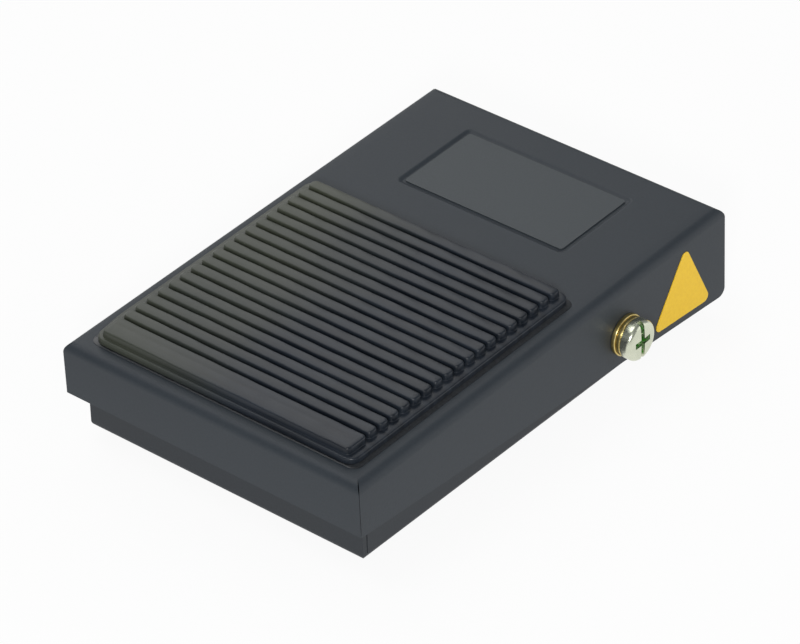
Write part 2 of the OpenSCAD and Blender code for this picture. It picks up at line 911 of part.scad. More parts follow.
module switch_plunger() {
    inner_y = case_y0 + case_wall;
    color(plunger_red)
    union() {
        // The two ends are domed
        for (y = [case_y0 - plunger_out + plunger_r, inner_y + plunger_in - plunger_r])
            translate([plunger_x, y, mid_z])
                sphere(plunger_r);
        bar_y(
            case_y0 - plunger_out + plunger_r, inner_y + plunger_in - plunger_r,
            plunger_x, mid_z, plunger_r
        );
        bar_y(
            inner_y + play, inner_y + play + plunger_flange_t,
            plunger_x, mid_z, plunger_flange_r
        );
    }
}

module contact_blade() {
    reach = contact_x - plunger_x;
    color(brass)
    difference() {
        block(
            [blade_x0, blade_y, mid_z - blade_w / 2],
            [blade_x1, blade_back, mid_z + blade_w / 2]
        );
        bar_y(blade_y - cut, blade_back + cut, contact_x, mid_z, contact_shank_r + fit);
        // Window between the tongue and the outer bands
        block(
            [plunger_x + plunger_r + play, blade_y - cut, mid_z - blade_w * window_share / 2],
            [plunger_x + reach * window_share, blade_back + cut, mid_z + blade_w * window_share / 2]
        );
    }
}

module moving_contact() {
    color(silver)
    union() {
        bar_y(blade_y - contact_h, blade_y, contact_x, mid_z, contact_r);
        bar_y(blade_y - touch, blade_back + touch, contact_x, mid_z, contact_shank_r);
        bar_y(blade_back, blade_back + contact_h, contact_x, mid_z, contact_r);
    }
}

// Cover: folded from one sheet, with sloping side walls and a short rear wall

module side_outline() {
    front_z = cover_top - cover_front_h;
    rear_z = cover_top - cover_rear_h;
    r = cover_heel_r;
    fold = cover_fold_r;
    // Middle of the lower rear corner, the same distance from both edges
    heel_y = cover_back - r;
    heel_z = rear_z + r * tan(edge_slope) + r / cos(edge_slope);
    polygon([
        [cover_front, front_z],
        [heel_y - (r - dip) * sin(edge_slope), heel_z - (r - dip) * cos(edge_slope)],
        [heel_y, heel_z],
        [cover_back, heel_z],
        [cover_back, cover_top - fold],
        [cover_back - fold, cover_top - fold],
        [cover_back - fold, cover_top],
        [cover_front + fold, cover_top],
        [cover_front + fold, cover_top - fold],
        [cover_front, cover_top - fold]
    ]);
    translate([heel_y, heel_z])
        circle(r);
    for (y = [cover_front + fold, cover_back - fold])
        translate([y, cover_top - fold])
            circle(fold);
}

module cover_outside() {
    intersection() {
        along_x(-cover_x, cover_x)
            side_outline();
        translate([0, cover_back, 0])
            rotate([90, 0, 0])
                linear_extrude(cover_l)
                    round_top(-cover_x, cover_x, 0, cover_top, cover_fold_r);
    }
}

module cover_seams() {
    for (y = [cover_front + cover_t, cover_back - cover_t - cover_seam])
        block(
            [cover_x - cover_t - cut, y, -cut],
            [cover_x + cut, y + cover_seam, cover_top - cover_fold_r]
        );
}

// Shallow recess with four sloping edges: two sloping channels that cross
module label_recess() {
    y = cover_back - recess_from_rear;
    half_w = recess_w / 2;
    half_l = recess_l / 2;
    low = cover_top - recess_depth;
    grow = recess_slope_w / recess_depth;
    intersection() {
        translate([0, y + half_l + cut, 0])
            rotate([90, 0, 0])
                linear_extrude(recess_l + 2 * cut)
                    polygon([
                        [-half_w + recess_slope_w, low],
                        [half_w - recess_slope_w, low],
                        [half_w + grow * cut, cover_top + cut],
                        [-half_w - grow * cut, cover_top + cut]
                    ]);
        along_x(-half_w - cut - grow * cut, half_w + cut + grow * cut)
            polygon([
                [y - half_l + recess_slope_w, low],
                [y + half_l - recess_slope_w, low],
                [y + half_l + grow * cut, cover_top + cut],
                [y - half_l - grow * cut, cover_top + cut]
            ]);
    }
}

module cover_shell() {
    inner_x = cover_x - cover_t;
    color(paint)
    on_cover()
        difference() {
            cover_outside();
            folded_block(
                -inner_x, inner_x, cover_front + cover_t, cover_back - cover_t,
                -cut, under_z, cover_fold_r - cover_t
            );
            // The rear wall ends above the cable inlet
            block(
                [-inner_x, cover_back - cover_t - cut, -cut],
                [inner_x, cover_back + cut, cover_top - rear_flange_h]
            );
            both_sides()
                cover_seams();
            label_recess();
            bar_x(inner_x - cut, cover_x + cut, earth_y, earth_z, earth_r + fit);
        }
}

module hinge_bracket() {
    ear_z = hinge_z;
    y0 = hinge_y - ear_l / 2;
    y1 = y0 + ear_l;
    heel_y = hinge_y + ear_back;
    color(zinc)
    on_cover()
        difference() {
            union() {
                block([-ear_x, y0, under_z - ear_t], [ear_x, y1, under_z]);
                both_sides() {
                    along_x(ear_x - ear_t, ear_x)
                        ear_outline(y0, y1, heel_y);
                }
            }
            both_sides()
                bar_x(ear_x - ear_t - cut, ear_x + cut, hinge_y, hinge_z, pin_r + fit);
        }
}

// Side view of an ear: round about the pin, with a heel behind it that meets the floor
module ear_outline(y0, y1, heel_y) {
    heel_low = level_z(heel_y, base_t + heel_gap - hinge_z);
    translate([hinge_y, hinge_z])
        circle(ear_r);
    polygon([
        [hinge_y - ear_r, hinge_z],
        [hinge_y, hinge_z],
        [hinge_y, heel_low + ear_t],
        [heel_y - ear_t, heel_low],
        [heel_y, heel_low],
        [heel_y, hinge_z + ear_r],
        [y1, under_z - cover_t],
        [y1, under_z],
        [y0, under_z],
        [y0, under_z - cover_t]
    ]);
}

module striker() {
    // The working face passes the lever's upper front edge at this place
    edge_y = level_y(lever_front_y - striker_gap, lever_top - hinge_z);
    edge_z = level_z(lever_front_y - striker_gap, lever_top - hinge_z);
    low = edge_z - striker_reach;
    slope = tan(striker_slope);
    top_y = edge_y + (under_z - edge_z) * slope;
    low_y = edge_y + (low - edge_z) * slope;
    color(zinc)
    on_cover()
        along_x(striker_x0, striker_x1)
            polygon([
                [low_y, low],
                [top_y - striker_t * slope, under_z - striker_t],
                [top_y + striker_foot_l, under_z - striker_t],
                [top_y + striker_foot_l, under_z],
                [top_y - striker_run, under_z],
                [low_y - striker_run, low]
            ]);
}

module upper_spring_seats() {
    color(zinc)
    on_cover()
        both_sides() {
            bar_z(under_z - seat_t, under_z, spring_x, upper_seat_y, seat_r);
            bar_z(under_z - seat_t - seat_peg_h, under_z, spring_x, upper_seat_y, seat_peg_r);
        }
}

// Tread pad, label and sticker

// Side view of one rib with round upper edges
module rib_outline(y0, y1) {
    round_top(y0, y1, pad_floor_z - touch, pad_floor_z + pad_rib_h, pad_rib_edge_r);
}

module tread_pad() {
    step0 = rib_y1 - pad_rear_rib_w;
    end_run = pad_end_slope * pad_rib_h;
    top = pad_floor_z + pad_rib_h;
    color(rubber)
    on_cover()
        union() {
            translate([0, 0, pad_z])
                linear_extrude(pad_plate_t)
                    round_rect(-pad_w / 2, pad_w / 2, pad_y0, pad_y0 + pad_l, pad_corner_r);
            intersection() {
                along_x(-rib_half_w, rib_half_w) {
                    rib_outline(step0, rib_y1);
                    for (i = [0:rib_count - 1])
                        rib_outline(
                            step0 - (i + 1) * pad_rib_pitch,
                            step0 - i * pad_rib_pitch - pad_groove_w
                        );
                    rib_outline(rib_y0, step0 - rib_count * pad_rib_pitch - pad_groove_w);
                }
                translate([0, rib_y1 + cut, 0])
                    rotate([90, 0, 0])
                        linear_extrude(rib_y1 - rib_y0 + 2 * cut)
                            polygon([
                                [-rib_half_w - end_run * touch, pad_floor_z - touch],
                                [rib_half_w + end_run * touch, pad_floor_z - touch],
                                [rib_half_w, pad_floor_z],
                                [rib_half_w - end_run, top],
                                [-rib_half_w + end_run, top],
                                [-rib_half_w, pad_floor_z]
                            ]);
            }
        }
}

module pad_adhesive() {
    color(phenolic)
    on_cover()
        translate([0, 0, cover_top])
            linear_extrude(adhesive_t)
                round_rect(
                    -pad_w / 2 + adhesive_inset, pad_w / 2 - adhesive_inset,
                    pad_y0 + adhesive_inset, pad_y0 + pad_l - adhesive_inset, pad_corner_r
                );
}

module label_plate() {
    y = cover_back - recess_from_rear;
    half_w = recess_w / 2 - recess_slope_w - label_gap;
    half_l = recess_l / 2 - recess_slope_w - label_gap;
    color(label_grey)
    on_cover()
        translate([0, 0, cover_top - recess_depth])
            linear_extrude(label_t)
                round_rect(-half_w, half_w, y - half_l, y + half_l, label_corner_r);
}

// Rounded triangle, in a side view, about its own middle: one arc of points a corner
module sticker_outline() {
    reach = sticker_side / sqrt(3);
    polygon([
        for (corner = [90, 210, 330])
            for (turn = [-60:15:60])
                reach * [cos(corner), sin(corner)]
                    + sticker_corner_r * [cos(corner + turn), sin(corner + turn)]
    ]);
}

module side_sticker() {
    color(sticker_yellow)
    on_cover()
        translate([0, cover_back - sticker_from_rear, cover_top - sticker_drop])
            along_x(cover_x, cover_x + sticker_t)
                rotate(-edge_slope)
                    sticker_outline();
}

// Earth screw with its washers and nut

// Ring about the screw's axis, from one X to another
module earth_ring(x0, x1, r, hole_r) {
    difference() {
        bar_x(x0, x1, earth_y, earth_z, r);
        bar_x(x0 - cut, x1 + cut, earth_y, earth_z, hole_r);
    }
}

// Pan head turned about its own axis, with a round upper edge
module pan_head() {
    r = earth_head_edge_r;
    translate([cover_x + earth_stack, earth_y, earth_z])
        rotate([0, 90, 0])
            rotate_extrude()
                union() {
                    square([earth_head_r - r, earth_head_h]);
                    square([earth_head_r, earth_head_h - r]);
                    translate([earth_head_r - r, earth_head_h - r])
                        circle(r);
                }
}

module earth_screw() {
    head_x = cover_x + earth_stack;
    top_x = head_x + earth_head_h;
    color(zinc)
    on_cover()
        difference() {
            union() {
                bar_x(
                    cover_x - cover_t - earth_nut_t - earth_tip, head_x + touch,
                    earth_y, earth_z, earth_r
                );
                pan_head();
            }
            // One long slot, and a short bar across it
            block(
                [top_x - earth_slot_depth, earth_y - earth_slot_w / 2, earth_z - earth_head_r - cut],
                [top_x + cut, earth_y + earth_slot_w / 2, earth_z + earth_head_r + cut]
            );
            block(
                [top_x - earth_cross_depth, earth_y - earth_cross_l / 2, earth_z - earth_cross_w / 2],
                [top_x + cut, earth_y + earth_cross_l / 2, earth_z + earth_cross_w / 2]
            );
        }
}

module earth_flat_washer() {
    color(yellow_zinc)
    on_cover()
        earth_ring(cover_x, cover_x + earth_flat_t, earth_flat_r, earth_r + fit);
}

module earth_spring_washer() {
    x0 = cover_x + earth_flat_t;
    color(yellow_zinc)
    on_cover()
        difference() {
            earth_ring(x0, x0 + earth_spring_t, earth_spring_r, earth_r + fit);
            block(
                [x0 - cut, earth_y, earth_z - earth_split_w / 2],
                [x0 + earth_spring_t + cut, earth_y + earth_spring_r + cut, earth_z + earth_split_w / 2]
            );
        }
}

module earth_nut() {
    x1 = cover_x - cover_t;
    color(zinc)
    on_cover()
        difference() {
            translate([x1 - earth_nut_t, earth_y, earth_z])
                rotate([0, 90, 0])
                    cylinder(h = earth_nut_t, r = earth_nut_corner_r, $fn = 6);
            bar_x(x1 - earth_nut_t - cut, x1 + cut, earth_y, earth_z, earth_r + fit);
        }
}

base_tray();
rubber_feet();
cable_grommet();
hinge_pins();
hinge_clips();
stop_buffers();
lower_spring_seats();
return_springs();
insulating_sheet();
switch_case();
switch_lid();
switch_screws();
common_terminal();
open_terminal();
closed_terminal();
fixed_contacts();
lever_pin();
switch_lever();
switch_plunger();
contact_blade();
moving_contact();
cover_shell();
hinge_bracket();
striker();
upper_spring_seats();
tread_pad();
pad_adhesive();
label_plate();
side_sticker();
earth_screw();
earth_spring_washer();
earth_flat_washer();
earth_nut();
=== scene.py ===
# %% [markdown]
# A foot switch in the studio
#
# The real object is a small treadle: a folded steel cover, painted with black powder, leans on two
# springs over a folded steel tray, and a foot presses it down onto a snap-action switch inside. A
# ribbed rubber pad is glued to the cover, and an earth screw stands out of its right side.
#
# The construction comes packed, at its real size, with every piece as a node of its own. This file
# gives those nodes their finishes, and replaces those whose softness a plain solid can't show: the
# cover with its bends, the rubber pad, the glue under it, the earth screw and its washers, the return
# springs, the grommet and the feet.

import json
from math import atan, cos, radians, sin, tan

import bmesh
import bpy
import numpy as np
from mathutils import Matrix, Vector


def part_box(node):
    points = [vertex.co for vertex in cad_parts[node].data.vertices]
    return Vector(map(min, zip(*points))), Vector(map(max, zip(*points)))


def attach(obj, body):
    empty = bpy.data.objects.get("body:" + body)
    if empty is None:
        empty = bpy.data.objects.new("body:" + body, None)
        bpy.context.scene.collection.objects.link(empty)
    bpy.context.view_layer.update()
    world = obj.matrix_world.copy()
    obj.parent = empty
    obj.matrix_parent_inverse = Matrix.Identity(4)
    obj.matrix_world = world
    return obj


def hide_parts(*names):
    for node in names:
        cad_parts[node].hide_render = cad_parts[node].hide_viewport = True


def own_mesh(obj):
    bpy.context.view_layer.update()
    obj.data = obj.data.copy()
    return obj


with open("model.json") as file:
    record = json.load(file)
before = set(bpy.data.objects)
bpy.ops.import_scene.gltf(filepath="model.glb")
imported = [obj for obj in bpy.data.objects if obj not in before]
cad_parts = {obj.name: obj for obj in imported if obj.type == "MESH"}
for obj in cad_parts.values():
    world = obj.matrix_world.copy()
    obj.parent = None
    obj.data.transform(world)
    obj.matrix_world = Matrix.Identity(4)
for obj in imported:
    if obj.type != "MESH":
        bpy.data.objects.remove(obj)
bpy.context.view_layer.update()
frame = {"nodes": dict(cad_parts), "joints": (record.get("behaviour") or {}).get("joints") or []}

# %% Which finish each node has
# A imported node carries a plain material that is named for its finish; real ones take the names over
finish_of = {name: node.data.materials[0].name for name, node in frame["nodes"].items()}
for node in frame["nodes"].values():
    node.data.materials.clear()
for plain in list(bpy.data.materials):
    bpy.data.materials.remove(plain)
print("finishes:", sorted(set(finish_of.values())))

# %% [markdown]
# Units and two small helpers
#
# Blender works in metres, and this object is a hand's length, so sizes are written in millimetres and
# turned to metres where a mesh is made. Colours are written as hex values, as a paint chart or a screen
# gives them. Those are sRGB values, and a shader wants linear light, so one function turns them.

# %% Units and colours
MM = 0.001


def colour(hex_value):
    """An sRGB hex colour as linear RGBA: the curve of the sRGB standard, undone."""
    parts = [int(hex_value[i:i + 2], 16) / 255 for i in (1, 3, 5)]
    linear = [c / 12.92 if c <= 0.04045 else ((c + 0.055) / 1.055) ** 2.4 for c in parts]
    return (*linear, 1.0)


# %% [markdown]
# The camera
#
# The view was solved from the straight edges and corners of the cover in the photograph: from the
# front right, about 35 degrees above the table, through a long lens almost a metre away. A long lens
# keeps parallel edges nearly parallel, which is how product photographs are taken.

# %% Camera
PICTURE_W = 800
VIEW_AZIMUTH = radians(40.78)
VIEW_ELEVATION = radians(35.41)
VIEW_ROLL = radians(-1.68)
VIEW_DISTANCE = 885 * MM
VIEW_TARGET = Vector((0, -0.75 * MM, 9 * MM))
FOCAL_PIXELS = 4872
SENSOR_W = 36
SHIFT_RIGHT_PX = 0.2
SHIFT_DOWN_PX = 3.0

back = Vector((
    sin(VIEW_AZIMUTH) * cos(VIEW_ELEVATION),
    -cos(VIEW_AZIMUTH) * cos(VIEW_ELEVATION),
    sin(VIEW_ELEVATION),
))
level_right = Vector((cos(VIEW_AZIMUTH), sin(VIEW_AZIMUTH), 0))
level_up = back.cross(level_right)
right = level_right * cos(VIEW_ROLL) + level_up * sin(VIEW_ROLL)
up = level_up * cos(VIEW_ROLL) - level_right * sin(VIEW_ROLL)

camera = bpy.data.objects.new("camera", bpy.data.cameras.new("camera"))
bpy.context.scene.collection.objects.link(camera)
camera.matrix_world = Matrix.Translation(VIEW_TARGET + back * VIEW_DISTANCE) @ Matrix(
    (right, up, back)
).transposed().to_4x4()
camera.data.sensor_width = SENSOR_W
camera.data.lens = FOCAL_PIXELS * SENSOR_W / PICTURE_W
camera.data.shift_x = -SHIFT_RIGHT_PX / PICTURE_W
camera.data.shift_y = SHIFT_DOWN_PX / PICTURE_W
camera.data.clip_start = 0.01
bpy.context.scene.camera = camera
print("lens:", round(camera.data.lens, 1), "mm")

# %% [markdown]
# A small function for nodes
#
# A procedural material is a graph of nodes. Writing each node, its settings and its links by hand takes
# four or five lines, so one function does it: settings are the node's own properties, and inputs maps a
# socket to a value or to the output that feeds it.

# %% Node helper
def add(tree, kind, inputs=None, stops=None, **settings):
    """Adds one node to a tree, sets its properties, fills or links its sockets, and sets a ramp's stops."""
    made = tree.nodes.new(kind)
    for name, value in settings.items():
        setattr(made, name, value)
    for socket, value in (inputs or {}).items():
        if isinstance(value, bpy.types.NodeSocket):
            tree.links.new(value, made.inputs[socket])
        else:
            made.inputs[socket].default_value = value
    for element, (position, value) in zip(made.color_ramp.elements if stops else (), stops or ()):
        element.position = position
        element.color = colour(value)
    return made.outputs


def new_material(name):
    """A material with a bare Principled shader, its tree and that shader."""
    made = bpy.data.materials.new(name)
    made.use_nodes = True
    return made, made.node_tree, made.node_tree.nodes["Principled BSDF"]


# %% [markdown]
# The floor and the light
#
# The picture is lit from behind on the left, with a white table that throws light back up onto the
# walls. The bends of the cover are darker than the faces on both sides, because they mirror the dark
# space between the lamps. So one broad lamp stands behind on the left and another hangs high above. A
# small one near the camera brightens the front and leaves a glint where a rib ends, a weak one close by
# at the right rear opens the shadow there, and a pale grey world fills the rest. The floor is matt
# white card. Rays from the camera and from gloss see it whiter still, so it fades into a white page,
# but it keeps the object's shadow.

# %% Floor
FLOOR_HALF = 3.0
PAGE_SHARE = 0.92
floor_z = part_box("rubber_feet")[0].z

floor_mesh = bpy.data.meshes.new("floor")
floor_mesh.from_pydata(
    [(x * FLOOR_HALF, y * FLOOR_HALF, floor_z) for x, y in ((-1, -1), (1, -1), (1, 1), (-1, 1))],
    [], [(0, 1, 2, 3)],
)
floor = bpy.data.objects.new("floor", floor_mesh)
bpy.context.scene.collection.objects.link(floor)

# Matt white card
card, tree, shader = new_material("white_card")
shader.inputs["Base Color"].default_value = colour("#f4f4f3")
shader.inputs["Roughness"].default_value = 0.9
shader.inputs["Specular IOR Level"].default_value = 0.1
seen = add(tree, "ShaderNodeLightPath")
either = add(tree, "ShaderNodeMath", {
    0: seen["Is Camera Ray"], 1: seen["Is Glossy Ray"],
}, operation="MAXIMUM")
any_view = add(tree, "ShaderNodeMath", {0: either[0], 1: seen["Is Transmission Ray"]}, operation="MAXIMUM")
page_share = add(tree, "ShaderNodeMath", {0: any_view[0], 1: PAGE_SHARE}, operation="MULTIPLY")
glow = add(tree, "ShaderNodeEmission", {"Color": colour("#ffffff"), "Strength": 1.0})
page = add(tree, "ShaderNodeMixShader", {0: page_share[0], 1: shader.outputs["BSDF"], 2: glow[0]})
tree.links.new(page[0], tree.nodes["Material Output"].inputs["Surface"])
floor_mesh.materials.append(card)
print("floor at z:", round(floor_z / MM, 2), "mm")

# %% World and lamps
WORLD_STRENGTH = 0.34

world = bpy.data.worlds.new("studio")
world.use_nodes = True
world.node_tree.nodes["Background"].inputs["Color"].default_value = colour("#eef1f4")
world.node_tree.nodes["Background"].inputs["Strength"].default_value = WORLD_STRENGTH
bpy.context.scene.world = world


def soft_lamp(name, azimuth, elevation, distance, size, power):
    """A square area lamp that looks at the object: angles in degrees, distance and size in m, power in W."""
    a = radians(azimuth)
    e = radians(elevation)
    away = Vector((sin(a) * cos(e), -cos(a) * cos(e), sin(e)))
    data = bpy.data.lights.new(name, "AREA")
    data.shape = "SQUARE"
    data.size = size
    data.energy = power
    lamp = bpy.data.objects.new(name, data)
    lamp.location = VIEW_TARGET + away * distance
    lamp.rotation_euler = away.to_track_quat("Z", "Y").to_euler()
    bpy.context.scene.collection.objects.link(lamp)


soft_lamp("lamp_behind_left", 238, 38, 1.2, 0.8, 3.3)
soft_lamp("lamp_overhead", 300, 68, 1.3, 0.6, 3.6)
soft_lamp("lamp_front", 36, 28, 1.3, 0.16, 8.4)
soft_lamp("lamp_right", 125, 14, 0.5, 0.3, 0.35)
bpy.context.scene.view_settings.view_transform = "Standard"
print("lamps:", [lamp.name for lamp in bpy.data.lights])

# %% [markdown]
# Black powder coat
#
# Powder paint is sprayed dry, clings by static charge and is baked until it flows. It never flows quite
# flat, so the film has a fine orange peel: bumps half a millimetre across, much too low to see as
# shapes, but enough to break the gloss into a soft grain. Its black is a charcoal grey in studio light.
# Noise at the grain's real size drives both the bump and a slight mottle of the colour.

# %% Powder coat
MOTTLE_SIZE = 14 * MM
PEEL_SIZE = 0.45 * MM
PEEL_HEIGHT = 0.03 * MM


def powder_coat(name, tone, dark_tone, roughness):
    """Baked powder paint: two near tones mixed by broad noise, with a fine orange peel."""
    made, tree, shader = new_material(name)
    shader.inputs["Specular IOR Level"].default_value = 0.36
    place = add(tree, "ShaderNodeTexCoord")["Object"]
    broad = add(tree, "ShaderNodeTexNoise", {"Vector": place, "Scale": 1 / MOTTLE_SIZE, "Detail": 3.0})
    peel = add(tree, "ShaderNodeTexNoise", {"Vector": place, "Scale": 1 / PEEL_SIZE, "Detail": 2.0})
    both = add(tree, "ShaderNodeMath", {0: broad["Fac"], 1: peel["Fac"]}, operation="ADD")
    half = add(tree, "ShaderNodeMath", {0: both[0], 1: 0.5}, operation="MULTIPLY")
    tones = add(tree, "ShaderNodeValToRGB", {"Fac": half[0]}, stops=[(0.36, dark_tone), (0.64, tone)])
    tree.links.new(tones["Color"], shader.inputs["Base Color"])
    gloss = add(tree, "ShaderNodeMapRange", {
        "Value": broad["Fac"], "To Min": roughness - 0.04, "To Max": roughness + 0.05,
    })
    tree.links.new(gloss["Result"], shader.inputs["Roughness"])
    bump = add(tree, "ShaderNodeBump", {"Height": peel["Fac"], "Strength": 0.35, "Distance": PEEL_HEIGHT})
    tree.links.new(bump["Normal"], shader.inputs["Normal"])
    return made


black_powder_coat = powder_coat("black_powder_coat", "#2f353b", "#2a3036", 0.5)
# The tray's coat is a shade darker than the cover's: painted shade, for the shadow that the cover casts on
# the tray
tray_coat_with_painted_shade = powder_coat("tray_coat_with_painted_shade", "#282d33", "#24292e", 0.52)

# %% [markdown]
# Rubber
#
# The tread pad is moulded nitrile rubber. Rubber is nearly black all through, with a low sheen where
# the mould was polished and a grey bloom where oils come to the surface. The bloom is drawn as long
# soft streaks that lie along the ribs. A warmer, paler patch on the left is painted sheen: the light
# from behind on the left, painted into the colour.

# %% Rubber
# Waves in a metre along X, Y and Z, which make streaks about 17 mm long, 1 mm wide and 2.5 mm deep
STREAK_WAVES = (60.0, 900.0, 400.0)
RUBBER_GRAIN = 0.35 * MM
RUBBER_GRAIN_HEIGHT = 0.03 * MM
# The painted sheen on the left of the rubber: it fades in towards negative X, its edge moved about by noise
# 30 mm across
SHEEN_PATCH = 30 * MM
SHEEN_NONE_X = 22 * MM
SHEEN_FULL_X = -28 * MM
SHEEN_MOST = 0.9


def moulded_rubber(name, tone, bloom_tone, sheen_tone, roughness):
    """Moulded rubber: streaks along X, and a painted sheen that grows towards negative X, in Object space.
    """
    made, tree, shader = new_material(name)
    shader.inputs["Specular IOR Level"].default_value = 0.3
    place = add(tree, "ShaderNodeTexCoord")["Object"]
    stretched = add(tree, "ShaderNodeMapping", {"Vector": place, "Scale": STREAK_WAVES})
    streaks = add(tree, "ShaderNodeTexNoise", {"Vector": stretched["Vector"], "Scale": 1.0, "Detail": 4.0})
    grain = add(tree, "ShaderNodeTexNoise", {"Vector": place, "Scale": 1 / RUBBER_GRAIN, "Detail": 2.0})
    bloom = add(tree, "ShaderNodeValToRGB", {"Fac": streaks["Fac"]}, stops=[(0.35, tone), (0.7, bloom_tone)])
    # A painted sheen: a lighter third tone that grows towards negative X
    axes = add(tree, "ShaderNodeSeparateXYZ", {"Vector": place})
    patch = add(tree, "ShaderNodeTexNoise", {"Vector": place, "Scale": 1 / SHEEN_PATCH, "Detail": 1.0})
    slide = add(tree, "ShaderNodeMath", {
        0: patch["Fac"], 1: SHEEN_PATCH, 2: axes["X"],
    }, operation="MULTIPLY_ADD")
    painted_sheen = add(tree, "ShaderNodeMapRange", {
        "Value": slide[0], "From Min": SHEEN_NONE_X, "From Max": SHEEN_FULL_X, "To Max": SHEEN_MOST,
    }, interpolation_type="SMOOTHSTEP")
    # Sockets 6 and 7 of a Mix node are its two colours, and its third output is the mixed colour
    toned = add(tree, "ShaderNodeMix", {
        0: painted_sheen["Result"], 6: bloom["Color"], 7: colour(sheen_tone),
    }, data_type="RGBA")
    tree.links.new(toned[2], shader.inputs["Base Color"])
    gloss = add(tree, "ShaderNodeMapRange", {
        "Value": streaks["Fac"], "To Min": roughness - 0.06, "To Max": roughness + 0.08,
    })
    tree.links.new(gloss["Result"], shader.inputs["Roughness"])
    bump = add(tree, "ShaderNodeBump", {
        "Height": grain["Fac"], "Strength": 0.25, "Distance": RUBBER_GRAIN_HEIGHT,
    })
    tree.links.new(bump["Normal"], shader.inputs["Normal"])
    return made


# The third tone of each rubber is a painted sheen, lighter and warmer on the tread pad
tread_rubber = moulded_rubber("tread_rubber", "#161b22", "#242a32", "#474a3c", 0.31)
plain_rubber = moulded_rubber("black_rubber", "#1f2124", "#292c30", "#24262a", 0.55)

# %% [markdown]
# Metals
#
# Zinc plate is a thin silvery coat. Passivated, it turns bluish white, or yellow where the bath holds
# chromate, with a faint play between gold and olive. Nickel is smoother and paler, spring steel is
# darker and brass is warmer. All of them take their look from what they mirror, so one function makes
# them, with a base colour, a roughness and fine drawing or tumbling marks as bump.

# %% Metals
MARK_HEIGHT = 0.02 * MM


def plated_metal(name, tone, second_tone, roughness, patch_size, mark_size):
    """Bare or plated metal: two tones in soft patches, and fine marks as bump."""
    made, tree, shader = new_material(name)
    shader.inputs["Metallic"].default_value = 1.0
    place = add(tree, "ShaderNodeTexCoord")["Object"]
    patches = add(tree, "ShaderNodeTexNoise", {"Vector": place, "Scale": 1 / patch_size, "Detail": 2.0})
    marks = add(tree, "ShaderNodeTexNoise", {"Vector": place, "Scale": 1 / mark_size, "Detail": 3.0})
    tones = add(tree, "ShaderNodeValToRGB", {"Fac": patches["Fac"]}, stops=[
        (0.38, tone), (0.62, second_tone),
    ])
    tree.links.new(tones["Color"], shader.inputs["Base Color"])
    gloss = add(tree, "ShaderNodeMapRange", {
        "Value": marks["Fac"], "To Min": roughness - 0.06, "To Max": roughness + 0.1,
    })
    tree.links.new(gloss["Result"], shader.inputs["Roughness"])
    bump = add(tree, "ShaderNodeBump", {"Height": marks["Fac"], "Strength": 0.3, "Distance": MARK_HEIGHT})
    tree.links.new(bump["Normal"], shader.inputs["Normal"])
    return made


plated_metal("zinc_plate", "#c3c6c8", "#b1b6b9", 0.34, 4 * MM, 0.3 * MM)
nickel_plate = plated_metal("nickel_plate", "#d9dcc8", "#ced2bd", 0.26, 4 * MM, 0.3 * MM)
yellow_zinc = plated_metal("yellow_zinc", "#e3cf8f", "#cfb974", 0.32, 1.5 * MM, 0.25 * MM)
spring_steel = plated_metal("spring_steel", "#8d9094", "#7d8084", 0.3, 3 * MM, 0.2 * MM)
plated_metal("brass", "#d9b35e", "#caa04b", 0.28, 3 * MM, 0.2 * MM)
plated_metal("silver_contact", "#dcdcda", "#cfcfcd", 0.3, 1 * MM, 0.15 * MM)

# %% [markdown]
# Plastics, paper and films
#
# The switch case is pressed phenolic, a hard dark resin with fine filler. Its plunger is a softer dyed
# plastic, the sheet below it is grey fish paper, a pressed fibre, and the label and the sticker are
# films with a faint grain. They differ in tone, gloss and grain, so they share one function.

# %% Plastics, paper and films
GRAIN_HEIGHT = 0.03 * MM


def filled_plastic(name, tone, second_tone, roughness, grain_size, bump_share):
    """Moulded or rolled sheet: two near tones in fine grain, with the grain as bump."""
    made, tree, shader = new_material(name)
    place = add(tree, "ShaderNodeTexCoord")["Object"]
    grain = add(tree, "ShaderNodeTexNoise", {"Vector": place, "Scale": 1 / grain_size, "Detail": 3.0})
    tones = add(tree, "ShaderNodeValToRGB", {"Fac": grain["Fac"]}, stops=[(0.35, tone), (0.65, second_tone)])
    tree.links.new(tones["Color"], shader.inputs["Base Color"])
    gloss = add(tree, "ShaderNodeMapRange", {
        "Value": grain["Fac"], "To Min": roughness - 0.03, "To Max": roughness + 0.05,
    })
    tree.links.new(gloss["Result"], shader.inputs["Roughness"])
    bump = add(tree, "ShaderNodeBump", {
        "Height": grain["Fac"], "Strength": bump_share, "Distance": GRAIN_HEIGHT,
    })
    tree.links.new(bump["Normal"], shader.inputs["Normal"])
    return made


filled_plastic("phenolic", "#1d1c1b", "#262422", 0.45, 0.5 * MM, 0.2)
filled_plastic("plunger_plastic", "#8d2018", "#a02a20", 0.4, 0.8 * MM, 0.1)
filled_plastic("fish_paper", "#6f7469", "#7c8175", 0.75, 0.4 * MM, 0.4)
adhesive_tape = filled_plastic("adhesive_tape", "#15171a", "#24272b", 0.3, 0.6 * MM, 0.5)
filled_plastic("label_film", "#343a3e", "#3a4044", 0.5, 0.3 * MM, 0.25)
filled_plastic("sticker_film", "#f2c30c", "#f7ca1a", 0.45, 0.6 * MM, 0.08)

# %% [markdown]
# Finishes for the imported nodes
#
# The imported record names a finish for each node, and the materials above have the same names, so each
# node takes its material by name. What is replaced further down takes the same materials.

# %% Assign the finishes
# The tray takes the darker coat, whose darkness is painted shade
finish_of["base_tray"] = tray_coat_with_painted_shade.name
for name, node in frame["nodes"].items():
    node.data.materials.append(bpy.data.materials[finish_of[name]])
print("materials:", sorted(material.name for material in bpy.data.materials))

